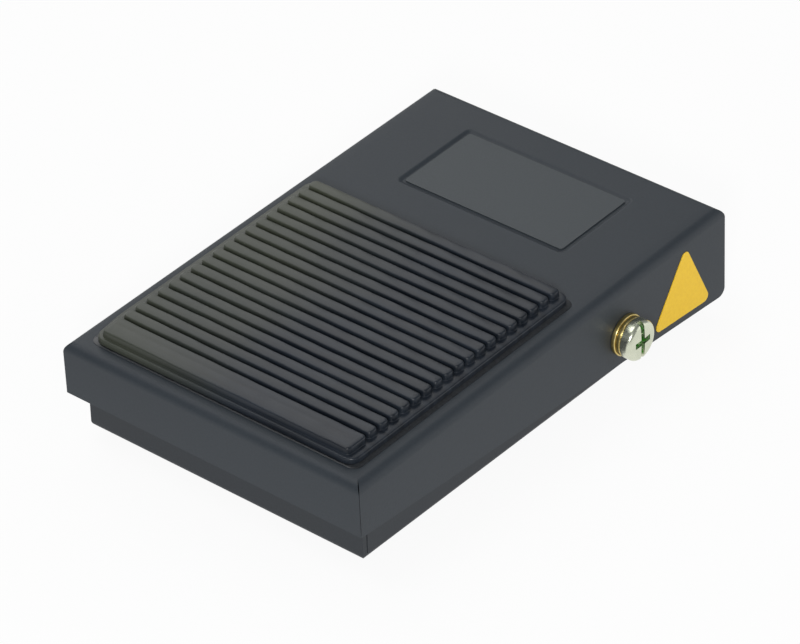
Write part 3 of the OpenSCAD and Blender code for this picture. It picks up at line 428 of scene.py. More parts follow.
# %% [markdown]
# Surfaces from arrays
#
# Sheet metal and moulded rubber are mostly flat faces joined by small rounds. Modelling them by hand
# would mean extruding and bevelling many edges. Here each surface is a grid instead: rows along one
# direction, columns along the other, and a formula for the place of every point, worked out for the
# whole array at once. One helper numbers the quads of such a grid, and another joins grids into a mesh,
# closes their common edges and makes the faces point outwards. Three more draw an arc, give the angles
# of a full turn and turn a profile about an axis.

# %% Grids to meshes
MERGE_DISTANCE = 0.002 * MM
CREASE_ANGLE = radians(34)


def quads(rows, columns, closed):
    """Corner numbers of a grid's quads; a closed grid joins its last column to its first."""
    row = np.arange(rows - 1)[:, None] * columns
    here = np.arange(columns if closed else columns - 1)
    after = (here + 1) % columns
    corners = [row + here, row + after, row + columns + after, row + columns + here]
    return np.stack(corners, axis=-1).reshape(-1, 4)


def surface_piece(name, grids, caps, material, body, replaced):
    """One piece from grids of points in mm, each (points, closed), and flat caps, each a ring of points."""
    points, faces, count = [], [], 0
    for grid, closed in grids:
        points.append(grid.reshape(-1, 3))
        faces += (quads(grid.shape[0], grid.shape[1], closed) + count).tolist()
        count += len(points[-1])
    for ring in caps:
        points.append(ring)
        faces.append(list(range(count, count + len(ring))))
        count += len(ring)
    mesh = bpy.data.meshes.new(name)
    mesh.from_pydata((np.concatenate(points) * MM).tolist(), [], faces)
    shape = bmesh.new()
    shape.from_mesh(mesh)
    bmesh.ops.remove_doubles(shape, verts=shape.verts, dist=MERGE_DISTANCE)
    bmesh.ops.recalc_face_normals(shape, faces=shape.faces)
    open_edges = sum(not edge.is_manifold for edge in shape.edges)
    shape.to_mesh(mesh)
    shape.free()
    mesh.shade_smooth()
    mesh.set_sharp_from_angle(angle=CREASE_ANGLE)
    mesh.materials.append(material)
    piece = bpy.data.objects.new(name, mesh)
    bpy.context.scene.collection.objects.link(piece)
    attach(piece, body)
    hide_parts(*replaced)
    print(name, "faces:", len(mesh.polygons), "open edges:", open_edges)
    return piece


def turned(profile, angles):
    """A profile of (along, radius) rows turned about the first axis: grid of (along, r cos a, r sin a)."""
    along, radius = profile[:, 0][:, None], profile[:, 1][:, None]
    return np.stack([
        along + 0 * angles, radius * np.cos(angles), radius * np.sin(angles),
    ], axis=-1)


def full_circle(steps):
    """Equal angles once round, without the last, which a closed grid joins to the first."""
    return np.arange(steps) * 2 * np.pi / steps


def round_corner(centre_a, centre_b, radius, start, end, steps=5):
    """Points of an arc as (a, b) rows, from start to end in degrees: centre + radius (cos, sin)."""
    angle = np.radians(np.linspace(start, end, steps))
    return np.stack([centre_a + radius * np.cos(angle), centre_b + radius * np.sin(angle)], axis=-1)


# %% [markdown]
# The cover's own frame
#
# The cover hangs on two pins near its rear and the springs hold it up, so at rest it isn't quite level:
# it leans a degree towards the front. It is simplest to work out its pieces level, and to turn them
# about the hinge line last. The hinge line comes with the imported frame.

# %% The lean at rest
REST_TILT = radians(1.11)
hinge = next(joint for joint in frame["joints"] if joint["name"] == "cover_hinge")
HINGE_Y = hinge["pos_m"][1] / MM
HINGE_Z = hinge["pos_m"][2] / MM


def lean(points):
    """Points of the level cover, turned about the hinge line by the tilt at rest."""
    y = points[..., 1] - HINGE_Y
    z = points[..., 2] - HINGE_Z
    return np.stack([
        points[..., 0],
        HINGE_Y + y * cos(REST_TILT) - z * sin(REST_TILT),
        HINGE_Z + y * sin(REST_TILT) + z * cos(REST_TILT),
    ], axis=-1)


print("hinge line at y, z:", HINGE_Y, HINGE_Z)

# %% [markdown]
# The cover
#
# The real cover is one sheet of 1.2 mm steel, cut as a cross and folded down on four sides. The folds
# leave a thin open seam at each corner, with a small notch at its top where the cutter relieved the
# bend. A box with a bevel would lose just that. So the sheet is made as it is cut: a top panel, four
# flanges that roll over the fold and run down, and the same again one sheet's thickness inside. The
# strips between the outer and the inner skin close the cut edges.

# %% Cover sizes
COVER_X = 34.5
COVER_FRONT = -52.5
COVER_BACK = 51.5
COVER_TOP = 21.0
COVER_SHEET = 1.2
FOLD_R = 1.9
FRONT_WALL_H = 10.9
REAR_SIDE_WALL_H = 19.4
REAR_FLANGE_H = 8.0
HEEL_R = 1.7
SEAM_GAP = 0.05
NOTCH_W = 0.1
FOLD_STEPS = 9
HEEL_STEPS = 10

RECESS_W = 39.4
RECESS_L = 21.6
RECESS_Y = 33.0
RECESS_DEPTH = 0.4
RECESS_SLOPE = 0.8
RECESS_CORNER_R = 1.4
# The grid's lines stop this far outside the recess, and are close together over this width inside it
RIM_GAP = 0.2
RIM_BAND = 2.2

front_low = COVER_TOP - FRONT_WALL_H
edge_slope = atan((REAR_SIDE_WALL_H - FRONT_WALL_H) / (COVER_BACK - COVER_FRONT))
heel_y = COVER_BACK - HEEL_R
heel_z = COVER_TOP - REAR_SIDE_WALL_H + HEEL_R * tan(edge_slope) + HEEL_R / cos(edge_slope)


# %% Lines of the top panel
def spread(*stretches):
    """Sorted places from stretches of (start, end, count), each evenly spaced, with no place twice."""
    return np.unique(np.round(np.concatenate([np.linspace(*s) for s in stretches]), 4))


panel_x = COVER_X - FOLD_R
panel_front = COVER_FRONT + FOLD_R
panel_back = COVER_BACK - FOLD_R
recess_x = RECESS_W / 2
recess_front = RECESS_Y - RECESS_L / 2
recess_back = RECESS_Y + RECESS_L / 2
across = spread(
    (-panel_x, -recess_x - RIM_GAP, 8), (-recess_x, -recess_x + RIM_BAND, 12),
    (-recess_x + RIM_BAND, recess_x - RIM_BAND, 18),
    (recess_x - RIM_BAND, recess_x, 12), (recess_x + RIM_GAP, panel_x, 8),
)
heel_start = panel_back - HEEL_R
along = spread(
    (panel_front, recess_front - RIM_GAP, 34), (recess_front, recess_front + RIM_BAND, 12),
    (recess_front + RIM_BAND, recess_back - RIM_BAND, 12), (recess_back - RIM_BAND, recess_back, 12),
    (recess_back + RIM_GAP, heel_start, 3), (heel_start, panel_back, HEEL_STEPS),
)
print("panel grid:", len(across), "by", len(along), "slope:", round(np.degrees(edge_slope), 2), "degrees")


def rounded_inset(x, y, half_w, half_l, corner_r):
    """How far a point lies inside a rounded rectangle about the origin: negative outside it."""
    beyond_x = np.abs(x) - (half_w - corner_r)
    beyond_y = np.abs(y) - (half_l - corner_r)
    outside = np.hypot(np.maximum(beyond_x, 0), np.maximum(beyond_y, 0))
    return corner_r - outside - np.minimum(np.maximum(beyond_x, beyond_y), 0)


def smooth(share):
    """0 below 0, 1 above 1, and the cubic 3s^2 - 2s^3 between."""
    s = np.clip(share, 0, 1)
    return s * s * (3 - 2 * s)


# %% The sheet's skins
def cover_skin(inset):
    """Grids of one skin, inset by 0 for the outside and by the sheet for the inside: panel, then flanges.
    A flange's point is on the arc (centre + r sin, centre + r cos) and then on the wall below it."""
    turn = np.radians(np.linspace(0, 90, FOLD_STEPS))
    arc_out = (FOLD_R - inset) * np.sin(turn)
    arc_down = COVER_TOP - FOLD_R + (FOLD_R - inset) * np.cos(turn)
    gap = SEAM_GAP * np.sin(turn) + NOTCH_W * np.sin(2 * turn) ** 2

    x, y = np.meshgrid(across, along)
    dip = RECESS_DEPTH * smooth(
        rounded_inset(x, y - RECESS_Y, recess_x, RECESS_L / 2, RECESS_CORNER_R) / RECESS_SLOPE
    )
    grids = [np.stack([x, y, COVER_TOP - inset - dip], axis=-1)]

    # Front and rear flanges: their length grows with the fold and stops short of the corner by the gap
    for sign, fold_y, low in ((-1, panel_front, front_low), (1, panel_back, COVER_TOP - REAR_FLANGE_H)):
        out = np.concatenate([arc_out, [arc_out[-1]]])
        down = np.concatenate([arc_down, [low]])
        half = panel_x + out - np.concatenate([gap, [gap[-1]]])
        x = across[None, :] / panel_x * half[:, None]
        grids.append(np.stack([x, fold_y + sign * out[:, None] + 0 * x, down[:, None] + 0 * x], axis=-1))

    # Side flanges: the lower edge slopes, and rounds up into the heel at the rear
    heel_turn = np.linspace(-edge_slope, np.pi / 2, HEEL_STEPS)
    ahead = along[:len(along) - HEEL_STEPS]
    first_heel_y = heel_y + HEEL_R * np.sin(heel_turn[0])
    straight_y = COVER_FRONT + inset + (ahead - panel_front) / (heel_start - panel_front) * (
        first_heel_y - COVER_FRONT - inset
    )
    straight_low = front_low - (straight_y - COVER_FRONT) * tan(edge_slope)
    arc_y = heel_y + HEEL_R * np.sin(heel_turn) - inset * smooth(heel_turn / (np.pi / 2))
    wall_y = np.concatenate([straight_y, arc_y])
    wall_low = np.concatenate([straight_low, heel_z - HEEL_R * np.cos(heel_turn)])
    share = np.concatenate([np.sin(turn), [1.0]])
    ends = np.zeros(len(along))
    ends[0] = 1
    ends[-1] = -1
    shift = np.concatenate([gap, [gap[-1]]])[:, None] * ends
    y = along + (wall_y - along) * share[:, None] + shift
    for sign in (-1, 1):
        out = np.concatenate([arc_out, [arc_out[-1]]])[:, None]
        down = np.concatenate([arc_down[:, None] + 0 * wall_low, wall_low[None, :]])
        grids.append(np.stack([sign * (panel_x + out) + 0 * y, y, down], axis=-1))
    return grids


outer_skin = cover_skin(0)
inner_skin = cover_skin(COVER_SHEET)

# %% Close the cut edges and make the cover
edge_strips = []
for outer, inner in zip(outer_skin[1:], inner_skin[1:]):
    for edge in (np.s_[:, 0], np.s_[:, -1], np.s_[-1, :]):
        edge_strips.append(np.stack([outer[edge], inner[edge]]))
cover = surface_piece(
    "folded_cover", [(lean(grid), False) for grid in outer_skin + inner_skin + edge_strips], [],
    black_powder_coat, "cover", ["cover_shell"],
)


def soften(piece, width, segments, angle=35):
    """A live bevel on edges sharper than angle, so that they catch the light as real edges do."""
    bevel = piece.modifiers.new("soft_edges", "BEVEL")
    bevel.width = width * MM
    bevel.segments = segments
    bevel.limit_method = "ANGLE"
    bevel.angle_limit = radians(angle)
    bevel.harden_normals = True


soften(cover, width=0.2, segments=2)

# %% [markdown]
# The tread pad
#
# The pad is one moulding of black rubber: a thin plate with ribs across it, a wide one at the front
# where the shoe lands and nineteen in all. Its ribs are too soft-edged for plain boxes, and they are
# worn, a little wavy and rounded at the ends. Each rib is drawn as rings, from the plate up its wall,
# over its rounded edge and in to its middle line. Every ring is a rounded rectangle, and the outermost
# ring is the rib's share of the plate, so that neighbours join without a gap.

# %% Pad sizes
GLUE_T = 0.35
PLATE_T = 1.1
RIB_H = 1.3
PAD_FRONT = -49.0
PAD_BACK = 11.5
PAD_RIGHT = 30.25
PAD_LEFT = -30.9
PAD_EDGE_R = 0.3
PAD_CORNER_R = 2.0
RIB_LEFT = -29.2
RIB_RIGHT = 28.6
RIB_FRONT = -48.1
RIB_BACK = 10.7
RIB_PITCH = 2.97
RIB_GROOVE = 0.5
REAR_RIB_W = 2.6
MIDDLE_RIBS = 17
RIB_CORNER_R = 0.95
RIB_DRAFT = 0.05
RIB_EDGE_R = 0.36
RIB_FOOT_R = 0.1
ACROSS_STEPS = 56
CORNER_STEPS = 5

PAD_PLATE_LOW = COVER_TOP + GLUE_T
PAD_PLATE_TOP = PAD_PLATE_LOW + PLATE_T
PAD_RIB_TOP = PAD_PLATE_TOP + RIB_H
step = RIB_BACK - REAR_RIB_W - MIDDLE_RIBS * RIB_PITCH
middle_front = step + RIB_PITCH * np.arange(MIDDLE_RIBS)
rib_front = np.concatenate([[RIB_FRONT], middle_front, [RIB_BACK - REAR_RIB_W]])
rib_back = np.concatenate([[step - RIB_GROOVE], middle_front + RIB_PITCH - RIB_GROOVE, [RIB_BACK]])
between = (rib_back[:-1] + rib_front[1:]) / 2
cell_front = np.concatenate([[PAD_FRONT + PAD_EDGE_R], between])
cell_back = np.concatenate([between, [PAD_BACK - PAD_EDGE_R]])
print("ribs:", len(rib_front), "front rib width:", round(rib_back[0] - rib_front[0], 2))

# %% The outline that every ring follows
sweep = np.linspace(0, 90, CORNER_STEPS + 2)[1:-1]
side_share = np.linspace(-1, 1, ACROSS_STEPS)
ends_share = np.array([-1.0, 1.0])
one = np.ones(CORNER_STEPS)
share_x = np.concatenate([side_share, one, [1, 1], one, -side_share, -one, [-1, -1], -one])
share_y = np.concatenate([
    -np.ones(ACROSS_STEPS), -one, ends_share, one, np.ones(ACROSS_STEPS), one, -ends_share, -one,
])
facing = np.radians(np.concatenate([
    np.full(ACROSS_STEPS, -90), sweep - 90, [0, 0], sweep, np.full(ACROSS_STEPS, 90),
    sweep + 90, [180, 180], sweep + 180,
]))
round_x, round_y = np.cos(facing), np.sin(facing)
widest = np.maximum(np.abs(round_x), np.abs(round_y))
square_x, square_y = round_x / widest, round_y / widest
corner_middle = (CORNER_STEPS - 1) // 2
front_right = ACROSS_STEPS + corner_middle
back_right = ACROSS_STEPS + CORNER_STEPS + 2 + corner_middle
back_left = 2 * ACROSS_STEPS + 2 * CORNER_STEPS + 2 + corner_middle
front_left = 2 * ACROSS_STEPS + 3 * CORNER_STEPS + 4 + corner_middle

# %% The rings of every rib
rib_mid = ((rib_front + rib_back) / 2)[:, None]
rib_half_l = ((rib_back - rib_front) / 2)[:, None]
rib_half_w = (RIB_RIGHT - RIB_LEFT) / 2
rib_centre_x = (RIB_RIGHT + RIB_LEFT) / 2
run_x = rib_half_w - RIB_CORNER_R
run_y = rib_half_l - RIB_CORNER_R

# A faint line runs along the front rib, three fifths back; the others have only a slight crown
LINE_SHARE = 0.6
LINE_DEPTH = 0.04
LINE_HALF_W = 0.3
LINE_END_GAP = 0.1
CROWN = 0.03
CROWN_SHARE = 0.3
is_front = (np.arange(len(rib_front)) == 0)[:, None]
line_y = np.where(is_front, rib_front[:, None] + LINE_SHARE * 2 * rib_half_l, rib_mid)
line_half = np.where(is_front, LINE_HALF_W, rib_half_l * CROWN_SHARE)
line_rise = np.where(is_front, -LINE_DEPTH, CROWN)


def rib_ring(outset, height):
    """A ring round every rib, outset from its rounded rectangle, at one height."""
    r = RIB_CORNER_R + outset
    x = rib_centre_x + share_x * run_x + r * round_x + 0 * rib_mid
    y = rib_mid + share_y * run_y + r * round_y
    return np.stack([x, y, height + 0 * x], axis=-1)


# The outermost ring is the rib's share of the plate, with square corners
edge_x = np.where(
    square_x > 0,
    PAD_RIGHT - PAD_EDGE_R - rib_centre_x - run_x,
    rib_centre_x - run_x - PAD_LEFT - PAD_EDGE_R,
)
plate_x = rib_centre_x + share_x * run_x + square_x * edge_x + 0 * rib_mid
edge_y = np.where(
    square_y > 0, cell_back[:, None] - rib_mid - run_y, rib_mid - run_y - cell_front[:, None],
)
plate_y = rib_mid + share_y * run_y + square_y * edge_y
plate_ring = np.stack([plate_x, plate_y, PAD_PLATE_TOP + 0 * plate_x], axis=-1)

rings = [plate_ring, rib_ring(RIB_FOOT_R, PAD_PLATE_TOP), rib_ring(0, PAD_PLATE_TOP + RIB_FOOT_R)]
for turn in np.radians(np.linspace(0, 90, 5)):
    rings.append(rib_ring(
        -RIB_DRAFT - RIB_EDGE_R * (1 - cos(turn)), PAD_RIB_TOP - RIB_EDGE_R * (1 - sin(turn)),
    ))
for reach, rise in ((1, 0 * line_rise), (0, line_rise)):
    x = rib_centre_x + share_x * (run_x - LINE_END_GAP) + 0 * rib_mid
    y = line_y + share_y * line_half * reach
    rings.append(np.stack([x, y, PAD_RIB_TOP + rise + 0 * x], axis=-1))
pad_grid = np.stack(rings, axis=1)


# %% Wear, the outline and the skirt
TAPER_Y = -40
TAPER_L = 9
TAPER_KEPT = 0.5


def square_to_disc(u, v):
    """Moves a unit corner square onto a quarter disc: u sqrt(1 - v^2 / 2), v sqrt(1 - u^2 / 2)."""
    return u * np.sqrt(1 - v ** 2 / 2), v * np.sqrt(1 - u ** 2 / 2)


def pad_outline(points):
    """Rounds the plate's corners, and lets its left edge come in a little towards the front, as moulded."""
    x, y, z = points[..., 0].copy(), points[..., 1].copy(), points[..., 2]
    margin = 1 - (1 - TAPER_KEPT) * smooth((TAPER_Y - y) / TAPER_L)
    x = np.where(x < RIB_LEFT, RIB_LEFT + (x - RIB_LEFT) * margin, x)
    for side_x in (-1, 1):
        for side_y, end_y in ((-1, PAD_FRONT + PAD_EDGE_R), (1, PAD_BACK - PAD_EDGE_R)):
            end_x = PAD_RIGHT - PAD_EDGE_R if side_x > 0 else (
                RIB_LEFT + (PAD_LEFT + PAD_EDGE_R - RIB_LEFT) * (TAPER_KEPT if side_y < 0 else 1)
            )
            u = (side_x * (x - end_x) + PAD_CORNER_R) / PAD_CORNER_R
            v = (side_y * (y - end_y) + PAD_CORNER_R) / PAD_CORNER_R
            near = (u > 0) & (v > 0)
            disc_u, disc_v = square_to_disc(np.where(near, u, 0), np.where(near, v, 0))
            x = np.where(near, end_x + side_x * PAD_CORNER_R * (disc_u - 1), x)
            y = np.where(near, end_y + side_y * PAD_CORNER_R * (disc_v - 1), y)
    return np.stack([x, y, z], axis=-1)


def waves(points):
    """Makes the ribs a little uneven: long sines along X, different from rib to rib, none on the plate."""
    x, y, z = points[..., 0], points[..., 1], points[..., 2]
    share = np.clip((z - PAD_PLATE_TOP) / (PAD_RIB_TOP - PAD_PLATE_TOP), 0, 1)
    sway = 0.035 * np.sin(x * 0.21 + y * 1.7) + 0.02 * np.sin(x * 0.63 - y * 0.9)
    lift = 0.025 * np.sin(x * 0.27 + y * 0.8 + 1) + 0.015 * np.sin(x * 0.9 + y * 2.3)
    return np.stack([x, y + sway * share, z + lift * share], axis=-1)


pad_grid = waves(pad_outline(pad_grid))
outer_ring = pad_grid[:, 0]
loop = np.concatenate([
    outer_ring[0, front_left:], outer_ring[0, :front_right],
    outer_ring[:, front_right:back_right].reshape(-1, 3),
    outer_ring[-1, back_right:back_left],
    outer_ring[::-1, back_left:front_left].reshape(-1, 3),
])


def outset_loop(ring, distance, height):
    """A closed ring moved outwards in plan by a distance, along the normal of its own tangent."""
    tangent = np.roll(ring, -1, axis=0) - np.roll(ring, 1, axis=0)
    normal = np.stack([tangent[:, 1], -tangent[:, 0]], axis=-1)
    normal = normal / np.maximum(np.linalg.norm(normal, axis=1, keepdims=True), 1e-9)
    return np.concatenate([ring[:, :2] + normal * distance, np.full((len(ring), 1), height)], axis=1)


skirt = np.stack([loop] + [
    outset_loop(loop, PAD_EDGE_R * sin(turn), PAD_PLATE_TOP - PAD_EDGE_R * (1 - cos(turn)))
    for turn in np.radians([30, 60, 90])
] + [outset_loop(loop, PAD_EDGE_R, PAD_PLATE_LOW)])
surface_piece(
    "ribbed_tread_pad", [(lean(cell), True) for cell in pad_grid] + [(lean(skirt), True)], [lean(skirt[-1])],
    tread_rubber, "cover", ["tread_pad"],
)

# %% [markdown]
# The glue under the pad
#
# A sheet of adhesive holds the pad down. It was cut a little larger than the pad, and some of it has
# been pressed out: along the foot of the pad runs an uneven, shiny bead, and outside it lies a thin
# dark film with a slightly ragged edge. It is drawn as rings too, from the bead outwards, with a low
# wave in each ring's place and height.

# %% Adhesive sheet
GLUE_EDGE_X = 31.1
GLUE_FRONT = -49.25
GLUE_BACK = 11.75
FILM_T = 0.12
GLUE_RUN_STEPS = 120
GLUE_CORNER_STEPS = 9
# From the pad outwards: how far in from the sheet's edge, how high above the cover, how rippled
GLUE_PROFILE = (
    (1.35, 0.34, 0), (1.0, 0.33, 0), (0.78, 0.3, 0.05), (0.62, 0.2, 0.05),
    (0.5, FILM_T, 0.02), (0.1, FILM_T, 0.015), (0, FILM_T / 2, 0.015), (0, 0, 0),
)


def glue_outline(margin, height, ripple):
    """A rounded rectangle round the pad, margin inside the sheet's edge: straight runs and corner arcs,
    each point moved inwards by ripple times a sum of two sines, and up by 0.6 of that."""
    half_w, mid_y = GLUE_EDGE_X - margin, (GLUE_FRONT + GLUE_BACK) / 2
    half_l = (GLUE_BACK - GLUE_FRONT) / 2 - margin
    corner = PAD_CORNER_R
    run = np.linspace(-1, 1, GLUE_RUN_STEPS)
    whole = np.ones(GLUE_RUN_STEPS)
    turn = np.radians(np.linspace(0, 90, GLUE_CORNER_STEPS)[1:-1])
    still = np.ones(len(turn))
    sx = np.concatenate([run, still, whole, still, -run, -still, -whole, -still])
    sy = np.concatenate([-whole, -still, run, still, whole, still, -run, -still])
    face = np.concatenate([
        -whole * np.pi / 2, turn - np.pi / 2, 0 * whole, turn,
        whole * np.pi / 2, turn + np.pi / 2, whole * np.pi, turn + np.pi,
    ])
    x = sx * (half_w - corner) + corner * np.cos(face)
    y = mid_y + sy * (half_l - corner) + corner * np.sin(face)
    wave = np.sin(x * 2.1 + y * 1.7) * 0.6 + np.sin(x * 5.3 - y * 4.1) * 0.4
    return np.stack([
        x - ripple * wave * np.cos(face), y - ripple * wave * np.sin(face), height + 0.6 * ripple * wave,
    ], axis=-1)


glue_rings = np.stack([
    glue_outline(margin, COVER_TOP + height, ripple) for margin, height, ripple in GLUE_PROFILE
])
surface_piece(
    "adhesive_sheet", [(lean(glue_rings), True)], [lean(glue_rings[0]), lean(glue_rings[-1])],
    adhesive_tape, "cover", ["pad_adhesive"],
)

# %% [markdown]
# The earth screw and its washers
#
# A steel M4 pan head screw clamps the earth wire's tag to the cover: a flat washer on the sheet, then
# a split spring washer, then the head. The head takes a flat blade or a cross one. It is a turned
# part, so its profile is turned about its axis. The slot and the cross are then cut out of it with a
# Boolean modifier, as a punch would, which keeps their walls straight.

# %% Screw sizes
EARTH_Y = 21.2
EARTH_Z = 10.3
FLAT_T = 0.9
SPRING_T = 1.0
THREAD_R = 2.0
THREAD_PITCH = 0.7
THREAD_DEPTH = 0.3
THREAD_RUNOUT = 1.0
END_CHAMFER = 0.5
HEAD_LOW = COVER_X + FLAT_T + SPRING_T
HEAD_H = 2.4
HEAD_R = 4.0
HEAD_EDGE_R = 0.9
HEAD_CHAMFER = 0.15
HEAD_CROWN = 0.12
SHANK_STEPS = 90
SLOT_W = 1.0
SLOT_DEPTH = 1.1
CROSS_W = 1.2
CROSS_L = 4.2
CROSS_DEPTH = 1.5
ROUND_STEPS = 72

head_top = HEAD_LOW + HEAD_H
screw_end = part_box("earth_screw")[0].x / MM
shank = np.linspace(screw_end + END_CHAMFER, HEAD_LOW, SHANK_STEPS)
edge = round_corner(head_top - HEAD_CROWN - HEAD_EDGE_R, HEAD_R - HEAD_EDGE_R, HEAD_EDGE_R, 90, 5, 9)
crown = np.linspace(1, 0, 8)[1:]
head_profile = np.concatenate([
    [[screw_end, 0], [screw_end, THREAD_R - END_CHAMFER]],
    np.stack([shank, np.full(len(shank), THREAD_R)], axis=-1),
    [[HEAD_LOW, HEAD_R - HEAD_CHAMFER], [HEAD_LOW + HEAD_CHAMFER, HEAD_R]],
    edge,
    np.stack([head_top - HEAD_CROWN * crown ** 2, (HEAD_R - HEAD_EDGE_R) * crown], axis=-1),
])
around = full_circle(ROUND_STEPS)
head_grid = turned(head_profile, around)

# The thread is a triangular wave of the shank's radius: one pitch along, or one turn round, is one wave
place_x = head_grid[..., 0]
phase = place_x / THREAD_PITCH - around / (2 * np.pi)
on_shank = (place_x > screw_end + END_CHAMFER / 2) & (place_x < HEAD_LOW - THREAD_RUNOUT)
groove = 1 - np.where(on_shank, THREAD_DEPTH / THREAD_R * np.abs(2 * (phase % 1) - 1), 0)
head_grid[..., 1] *= groove
head_grid[..., 2] *= groove


def at_earth(points):
    """From the screw's own axis to its place on the cover's right wall."""
    return lean(points + np.array([0, EARTH_Y, EARTH_Z]))


# Green earth paint marks this screw. It was wiped off the face and stays in the slot and the cross, in
# patches: where a point lies below the face, and near enough to the axis, noise decides if it is painted
PAINT_TOP = 0.2
PAINT_FULL = 0.45
PAINT_R = 2.9
PAINT_END_R = 3.3
PAINT_PATCH = 0.9
painted_nickel = nickel_plate.copy()
painted_nickel.name = "nickel_plate_with_green_paint"
tree = painted_nickel.node_tree
shader = tree.nodes["Principled BSDF"]
face_centre = lean(np.array([head_top, EARTH_Y, EARTH_Z])) * MM
place = add(tree, "ShaderNodeTexCoord")["Object"]
from_face = add(tree, "ShaderNodeMapping", {"Vector": place, "Location": tuple(-face_centre)})
axes = add(tree, "ShaderNodeSeparateXYZ", {"Vector": from_face["Vector"]})
beside = add(tree, "ShaderNodeCombineXYZ", {"Y": axes["Y"], "Z": axes["Z"]})
radius = add(tree, "ShaderNodeVectorMath", {0: beside["Vector"]}, operation="LENGTH")
deep = add(tree, "ShaderNodeMapRange", {
    "Value": axes["X"], "From Min": -PAINT_TOP * MM, "From Max": -PAINT_FULL * MM,
})
near_axis = add(tree, "ShaderNodeMapRange", {
    "Value": radius["Value"], "From Min": PAINT_END_R * MM, "From Max": PAINT_R * MM,
})
blotches = add(tree, "ShaderNodeTexNoise", {
    "Vector": place, "Scale": 1 / (PAINT_PATCH * MM), "Detail": 3.0,
})
kept = add(tree, "ShaderNodeMapRange", {"Value": blotches["Fac"], "From Min": 0.4, "From Max": 0.5})
recess = add(tree, "ShaderNodeMath", {0: deep["Result"], 1: near_axis["Result"]}, operation="MULTIPLY")
paint = add(tree, "ShaderNodeMath", {0: recess[0], 1: kept["Result"]}, operation="MULTIPLY")
bare_tone = shader.inputs["Base Color"].links[0].from_socket
toned = add(tree, "ShaderNodeMix", {0: paint[0], 6: bare_tone, 7: colour("#3f8a2c")}, data_type="RGBA")
tree.links.new(toned[2], shader.inputs["Base Color"])
bare = add(tree, "ShaderNodeMath", {0: 1.0, 1: paint[0]}, operation="SUBTRACT")
tree.links.new(bare[0], shader.inputs["Metallic"])

screw = surface_piece(
    "slotted_earth_screw", [(at_earth(head_grid), True)], [],
    painted_nickel, "cover", ["earth_screw"],
)


# %% Cut the slot and the cross
def block_mesh(name, low, high):
    """A plain block between two corners, on the screw's axes, for cutting."""
    corners = np.array([
        [x, y, z] for x in (low[0], high[0]) for y in (low[1], high[1]) for z in (low[2], high[2])
    ])
    faces = [(0, 1, 3, 2), (4, 6, 7, 5), (0, 4, 5, 1), (2, 3, 7, 6), (0, 2, 6, 4), (1, 5, 7, 3)]
    made = bpy.data.meshes.new(name)
    made.from_pydata((at_earth(corners) * MM).tolist(), [], faces)
    return made


OVERRUN = 1.0
slot_block = block_mesh(
    "slot",
    (head_top - SLOT_DEPTH, -SLOT_W / 2, -HEAD_R - OVERRUN),
    (head_top + OVERRUN, SLOT_W / 2, HEAD_R + OVERRUN),
)
cross_block = block_mesh(
    "cross",
    (head_top - CROSS_DEPTH, -CROSS_L / 2, -CROSS_W / 2),
    (head_top + OVERRUN, CROSS_L / 2, CROSS_W / 2),
)
for block in (slot_block, cross_block):
    cutter = bpy.data.objects.new(block.name, block)
    bpy.context.scene.collection.objects.link(cutter)
    cut = screw.modifiers.new("cut", "BOOLEAN")
    cut.operation = "DIFFERENCE"
    cut.solver = "EXACT"
    cut.object = cutter
    bpy.context.view_layer.update()
    whole = screw.evaluated_get(bpy.context.evaluated_depsgraph_get())
    machined = bpy.data.meshes.new_from_object(whole)
    screw.modifiers.clear()
    screw.data = machined
    bpy.data.objects.remove(cutter)
screw.data.name = "slotted_earth_screw"
screw.data.set_sharp_from_angle(angle=CREASE_ANGLE)
soften(screw, width=0.07, segments=2, angle=50)
print("screw faces after cutting:", len(screw.data.polygons))

# %% Washers
FLAT_R = 4.1
SPRING_R = 3.9
WASHER_BORE_R = 2.1
SPLIT_HALF_ANGLE = 5.0
SPRING_RISE = 0.12
FLAT_EDGE_R = 0.18
SPRING_EDGE_R = 0.14


def rounded_band(low, high, inner, outer, edge_r):
    """A rectangle (along, radius) with rounded corners, as one loop of points."""
    return np.concatenate([
        round_corner(low + edge_r, inner + edge_r, edge_r, 180, 270, 4),
        round_corner(high - edge_r, inner + edge_r, edge_r, 270, 360, 4),
        round_corner(high - edge_r, outer - edge_r, edge_r, 0, 90, 4),
        round_corner(low + edge_r, outer - edge_r, edge_r, 90, 180, 4),
    ])


flat_loop = rounded_band(COVER_X, COVER_X + FLAT_T, WASHER_BORE_R, FLAT_R, FLAT_EDGE_R)
flat_grid = turned(np.concatenate([flat_loop, flat_loop[:1]]), around)
surface_piece(
    "flat_washer", [(at_earth(flat_grid), True)], [],
    yellow_zinc, "cover", ["earth_flat_washer"],
)

spring_angles = np.radians(np.linspace(SPLIT_HALF_ANGLE, 360 - SPLIT_HALF_ANGLE, ROUND_STEPS))
spring_loop = rounded_band(
    COVER_X + FLAT_T + SPRING_RISE / 2, HEAD_LOW - SPRING_RISE / 2, WASHER_BORE_R, SPRING_R, SPRING_EDGE_R,
)
spring_grid = turned(np.concatenate([spring_loop, spring_loop[:1]]), spring_angles)
spring_grid[..., 0] += SPRING_RISE * (spring_angles / (2 * np.pi) - 0.5)
surface_piece(
    "split_spring_washer", [(at_earth(spring_grid), False)],
    [at_earth(spring_grid[:-1, 0]), at_earth(spring_grid[:-1, -1])],
    yellow_zinc, "cover", ["earth_spring_washer"],
)

# %% [markdown]
# Return springs
#
# Two compression springs of 1 mm drawn wire push the cover up. A spring is a circle carried along a
# helix. Its end turns close up so that it stands square on its seat, so the height rises slowly at
# both ends and faster between. When the cover goes down, the coils come together.

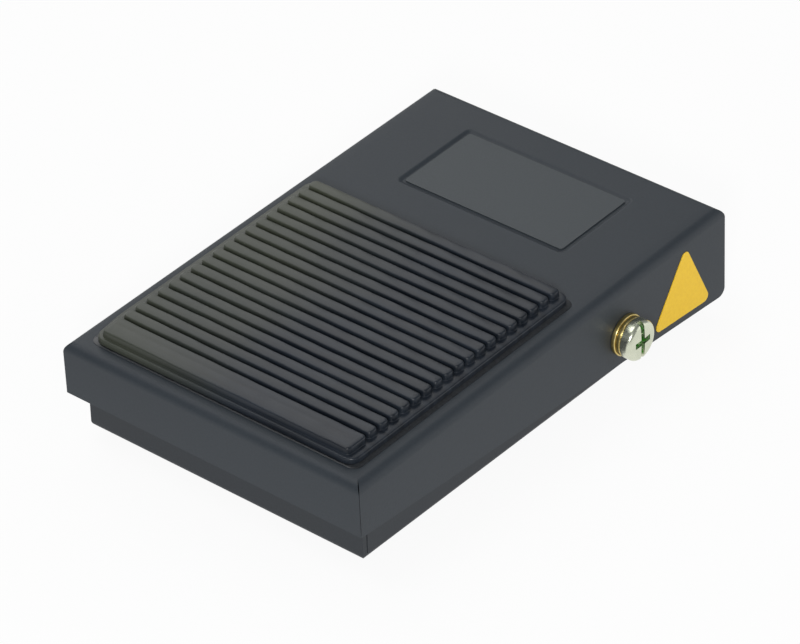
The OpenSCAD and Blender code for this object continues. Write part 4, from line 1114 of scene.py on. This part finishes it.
# %% Springs
springs_low, springs_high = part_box("return_springs")
WIRE_R = 0.5
COIL_R = 4.4
SPRING_TURNS = 6
SPRING_X = 10.0
SPRING_Y = -20.45
END_SHARE = 0.6
WIRE_SIDES = 12
STEPS_A_TURN = 40

turns = np.linspace(0, 1, SPRING_TURNS * STEPS_A_TURN + 1)[:, None]
rise = (springs_high.z - springs_low.z) / MM - 2 * WIRE_R
held_back = END_SHARE * np.sin(2 * np.pi * turns) / (2 * np.pi)
wire_height = springs_low.z / MM + WIRE_R + rise * (turns - held_back)
wind = 2 * np.pi * SPRING_TURNS * turns
section = full_circle(WIRE_SIDES)
coil_r = COIL_R + WIRE_R * np.cos(section)
coil = np.stack([
    coil_r * np.cos(wind), coil_r * np.sin(wind), wire_height + WIRE_R * np.sin(section),
], axis=-1)
coils = [coil + np.array([side * SPRING_X, SPRING_Y, 0]) for side in (-1, 1)]
springs = surface_piece(
    "drawn_wire_springs", [(one_coil, True) for one_coil in coils],
    [one_coil[end] for one_coil in coils for end in (0, -1)],
    spring_steel, "base", ["return_springs"],
)
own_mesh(springs)

# %% [markdown]
# Rubber grommet and feet
#
# The grommet that lines the cable inlet and the four feet are small turned mouldings. Their edges are
# soft, so each profile is a loop of arcs, turned about the bore or about the foot's own axis.

# %% Grommet
grommet_low, grommet_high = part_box("cable_grommet")
GROMMET_Z = 6.0
GROMMET_BORE_R = 2.8
GROMMET_LIP_R = 4.7
GROMMET_NECK_R = 3.6
LIP_T = 1.4
LIP_ROUND = 0.6
LIP_TAPER = 0.4
MOULDED_STEPS = 48

near, far = grommet_low.y / MM, grommet_high.y / MM
grommet_loop = np.concatenate([
    round_corner(near + LIP_ROUND, GROMMET_BORE_R + LIP_ROUND, LIP_ROUND, 270, 180),
    round_corner(near + LIP_ROUND, GROMMET_LIP_R - LIP_ROUND, LIP_ROUND, 180, 60),
    [[near + LIP_T, GROMMET_LIP_R - LIP_TAPER], [near + LIP_T, GROMMET_NECK_R]],
    [[far - LIP_T, GROMMET_NECK_R], [far - LIP_T, GROMMET_LIP_R - LIP_TAPER]],
    round_corner(far - LIP_ROUND, GROMMET_LIP_R - LIP_ROUND, LIP_ROUND, 120, 0),
    round_corner(far - LIP_ROUND, GROMMET_BORE_R + LIP_ROUND, LIP_ROUND, 0, -90),
])
grommet_grid = turned(np.concatenate([grommet_loop, grommet_loop[:1]]), full_circle(MOULDED_STEPS))
grommet_grid = np.stack([
    grommet_grid[..., 1], grommet_grid[..., 0], grommet_grid[..., 2] + GROMMET_Z,
], axis=-1)
surface_piece(
    "moulded_grommet", [(grommet_grid, True)], [], plain_rubber, "base", ["cable_grommet"],
)

# %% Feet
feet_low, feet_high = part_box("rubber_feet")
FOOT_R = 4.5
FOOT_ROUND = 0.45
FOOT_RIM = 0.1
HOLLOW_R = 1.6
HOLLOW_TOP_R = 1.2
HOLLOW_DEPTH = 0.5

foot_x = feet_high.x / MM - FOOT_R
foot_y = feet_high.y / MM - FOOT_R
foot_top = feet_high.z / MM
foot_bottom = feet_low.z / MM
# The arc of the top rim runs backwards, so it folds 0.1 mm over itself, hidden against the tray
foot_profile = np.concatenate([
    [[foot_top, 0], [foot_top, FOOT_R - 2 * FOOT_RIM]],
    round_corner(foot_top - FOOT_RIM, FOOT_R - FOOT_RIM, FOOT_RIM, 90, 0, 3),
    round_corner(foot_bottom + FOOT_ROUND, FOOT_R - FOOT_ROUND, FOOT_ROUND, 90, 180, 6),
    [[foot_bottom, HOLLOW_R], [foot_bottom + HOLLOW_DEPTH, HOLLOW_TOP_R], [foot_bottom + HOLLOW_DEPTH, 0]],
])
foot = turned(foot_profile, full_circle(MOULDED_STEPS))
foot = np.stack([foot[..., 1], foot[..., 2], foot[..., 0]], axis=-1)
feet = [foot + np.array([x, y, 0]) for x in (-foot_x, foot_x) for y in (-foot_y, foot_y)]
surface_piece(
    "moulded_feet", [(one_foot, True) for one_foot in feet], [],
    plain_rubber, "base", ["rubber_feet"],
)
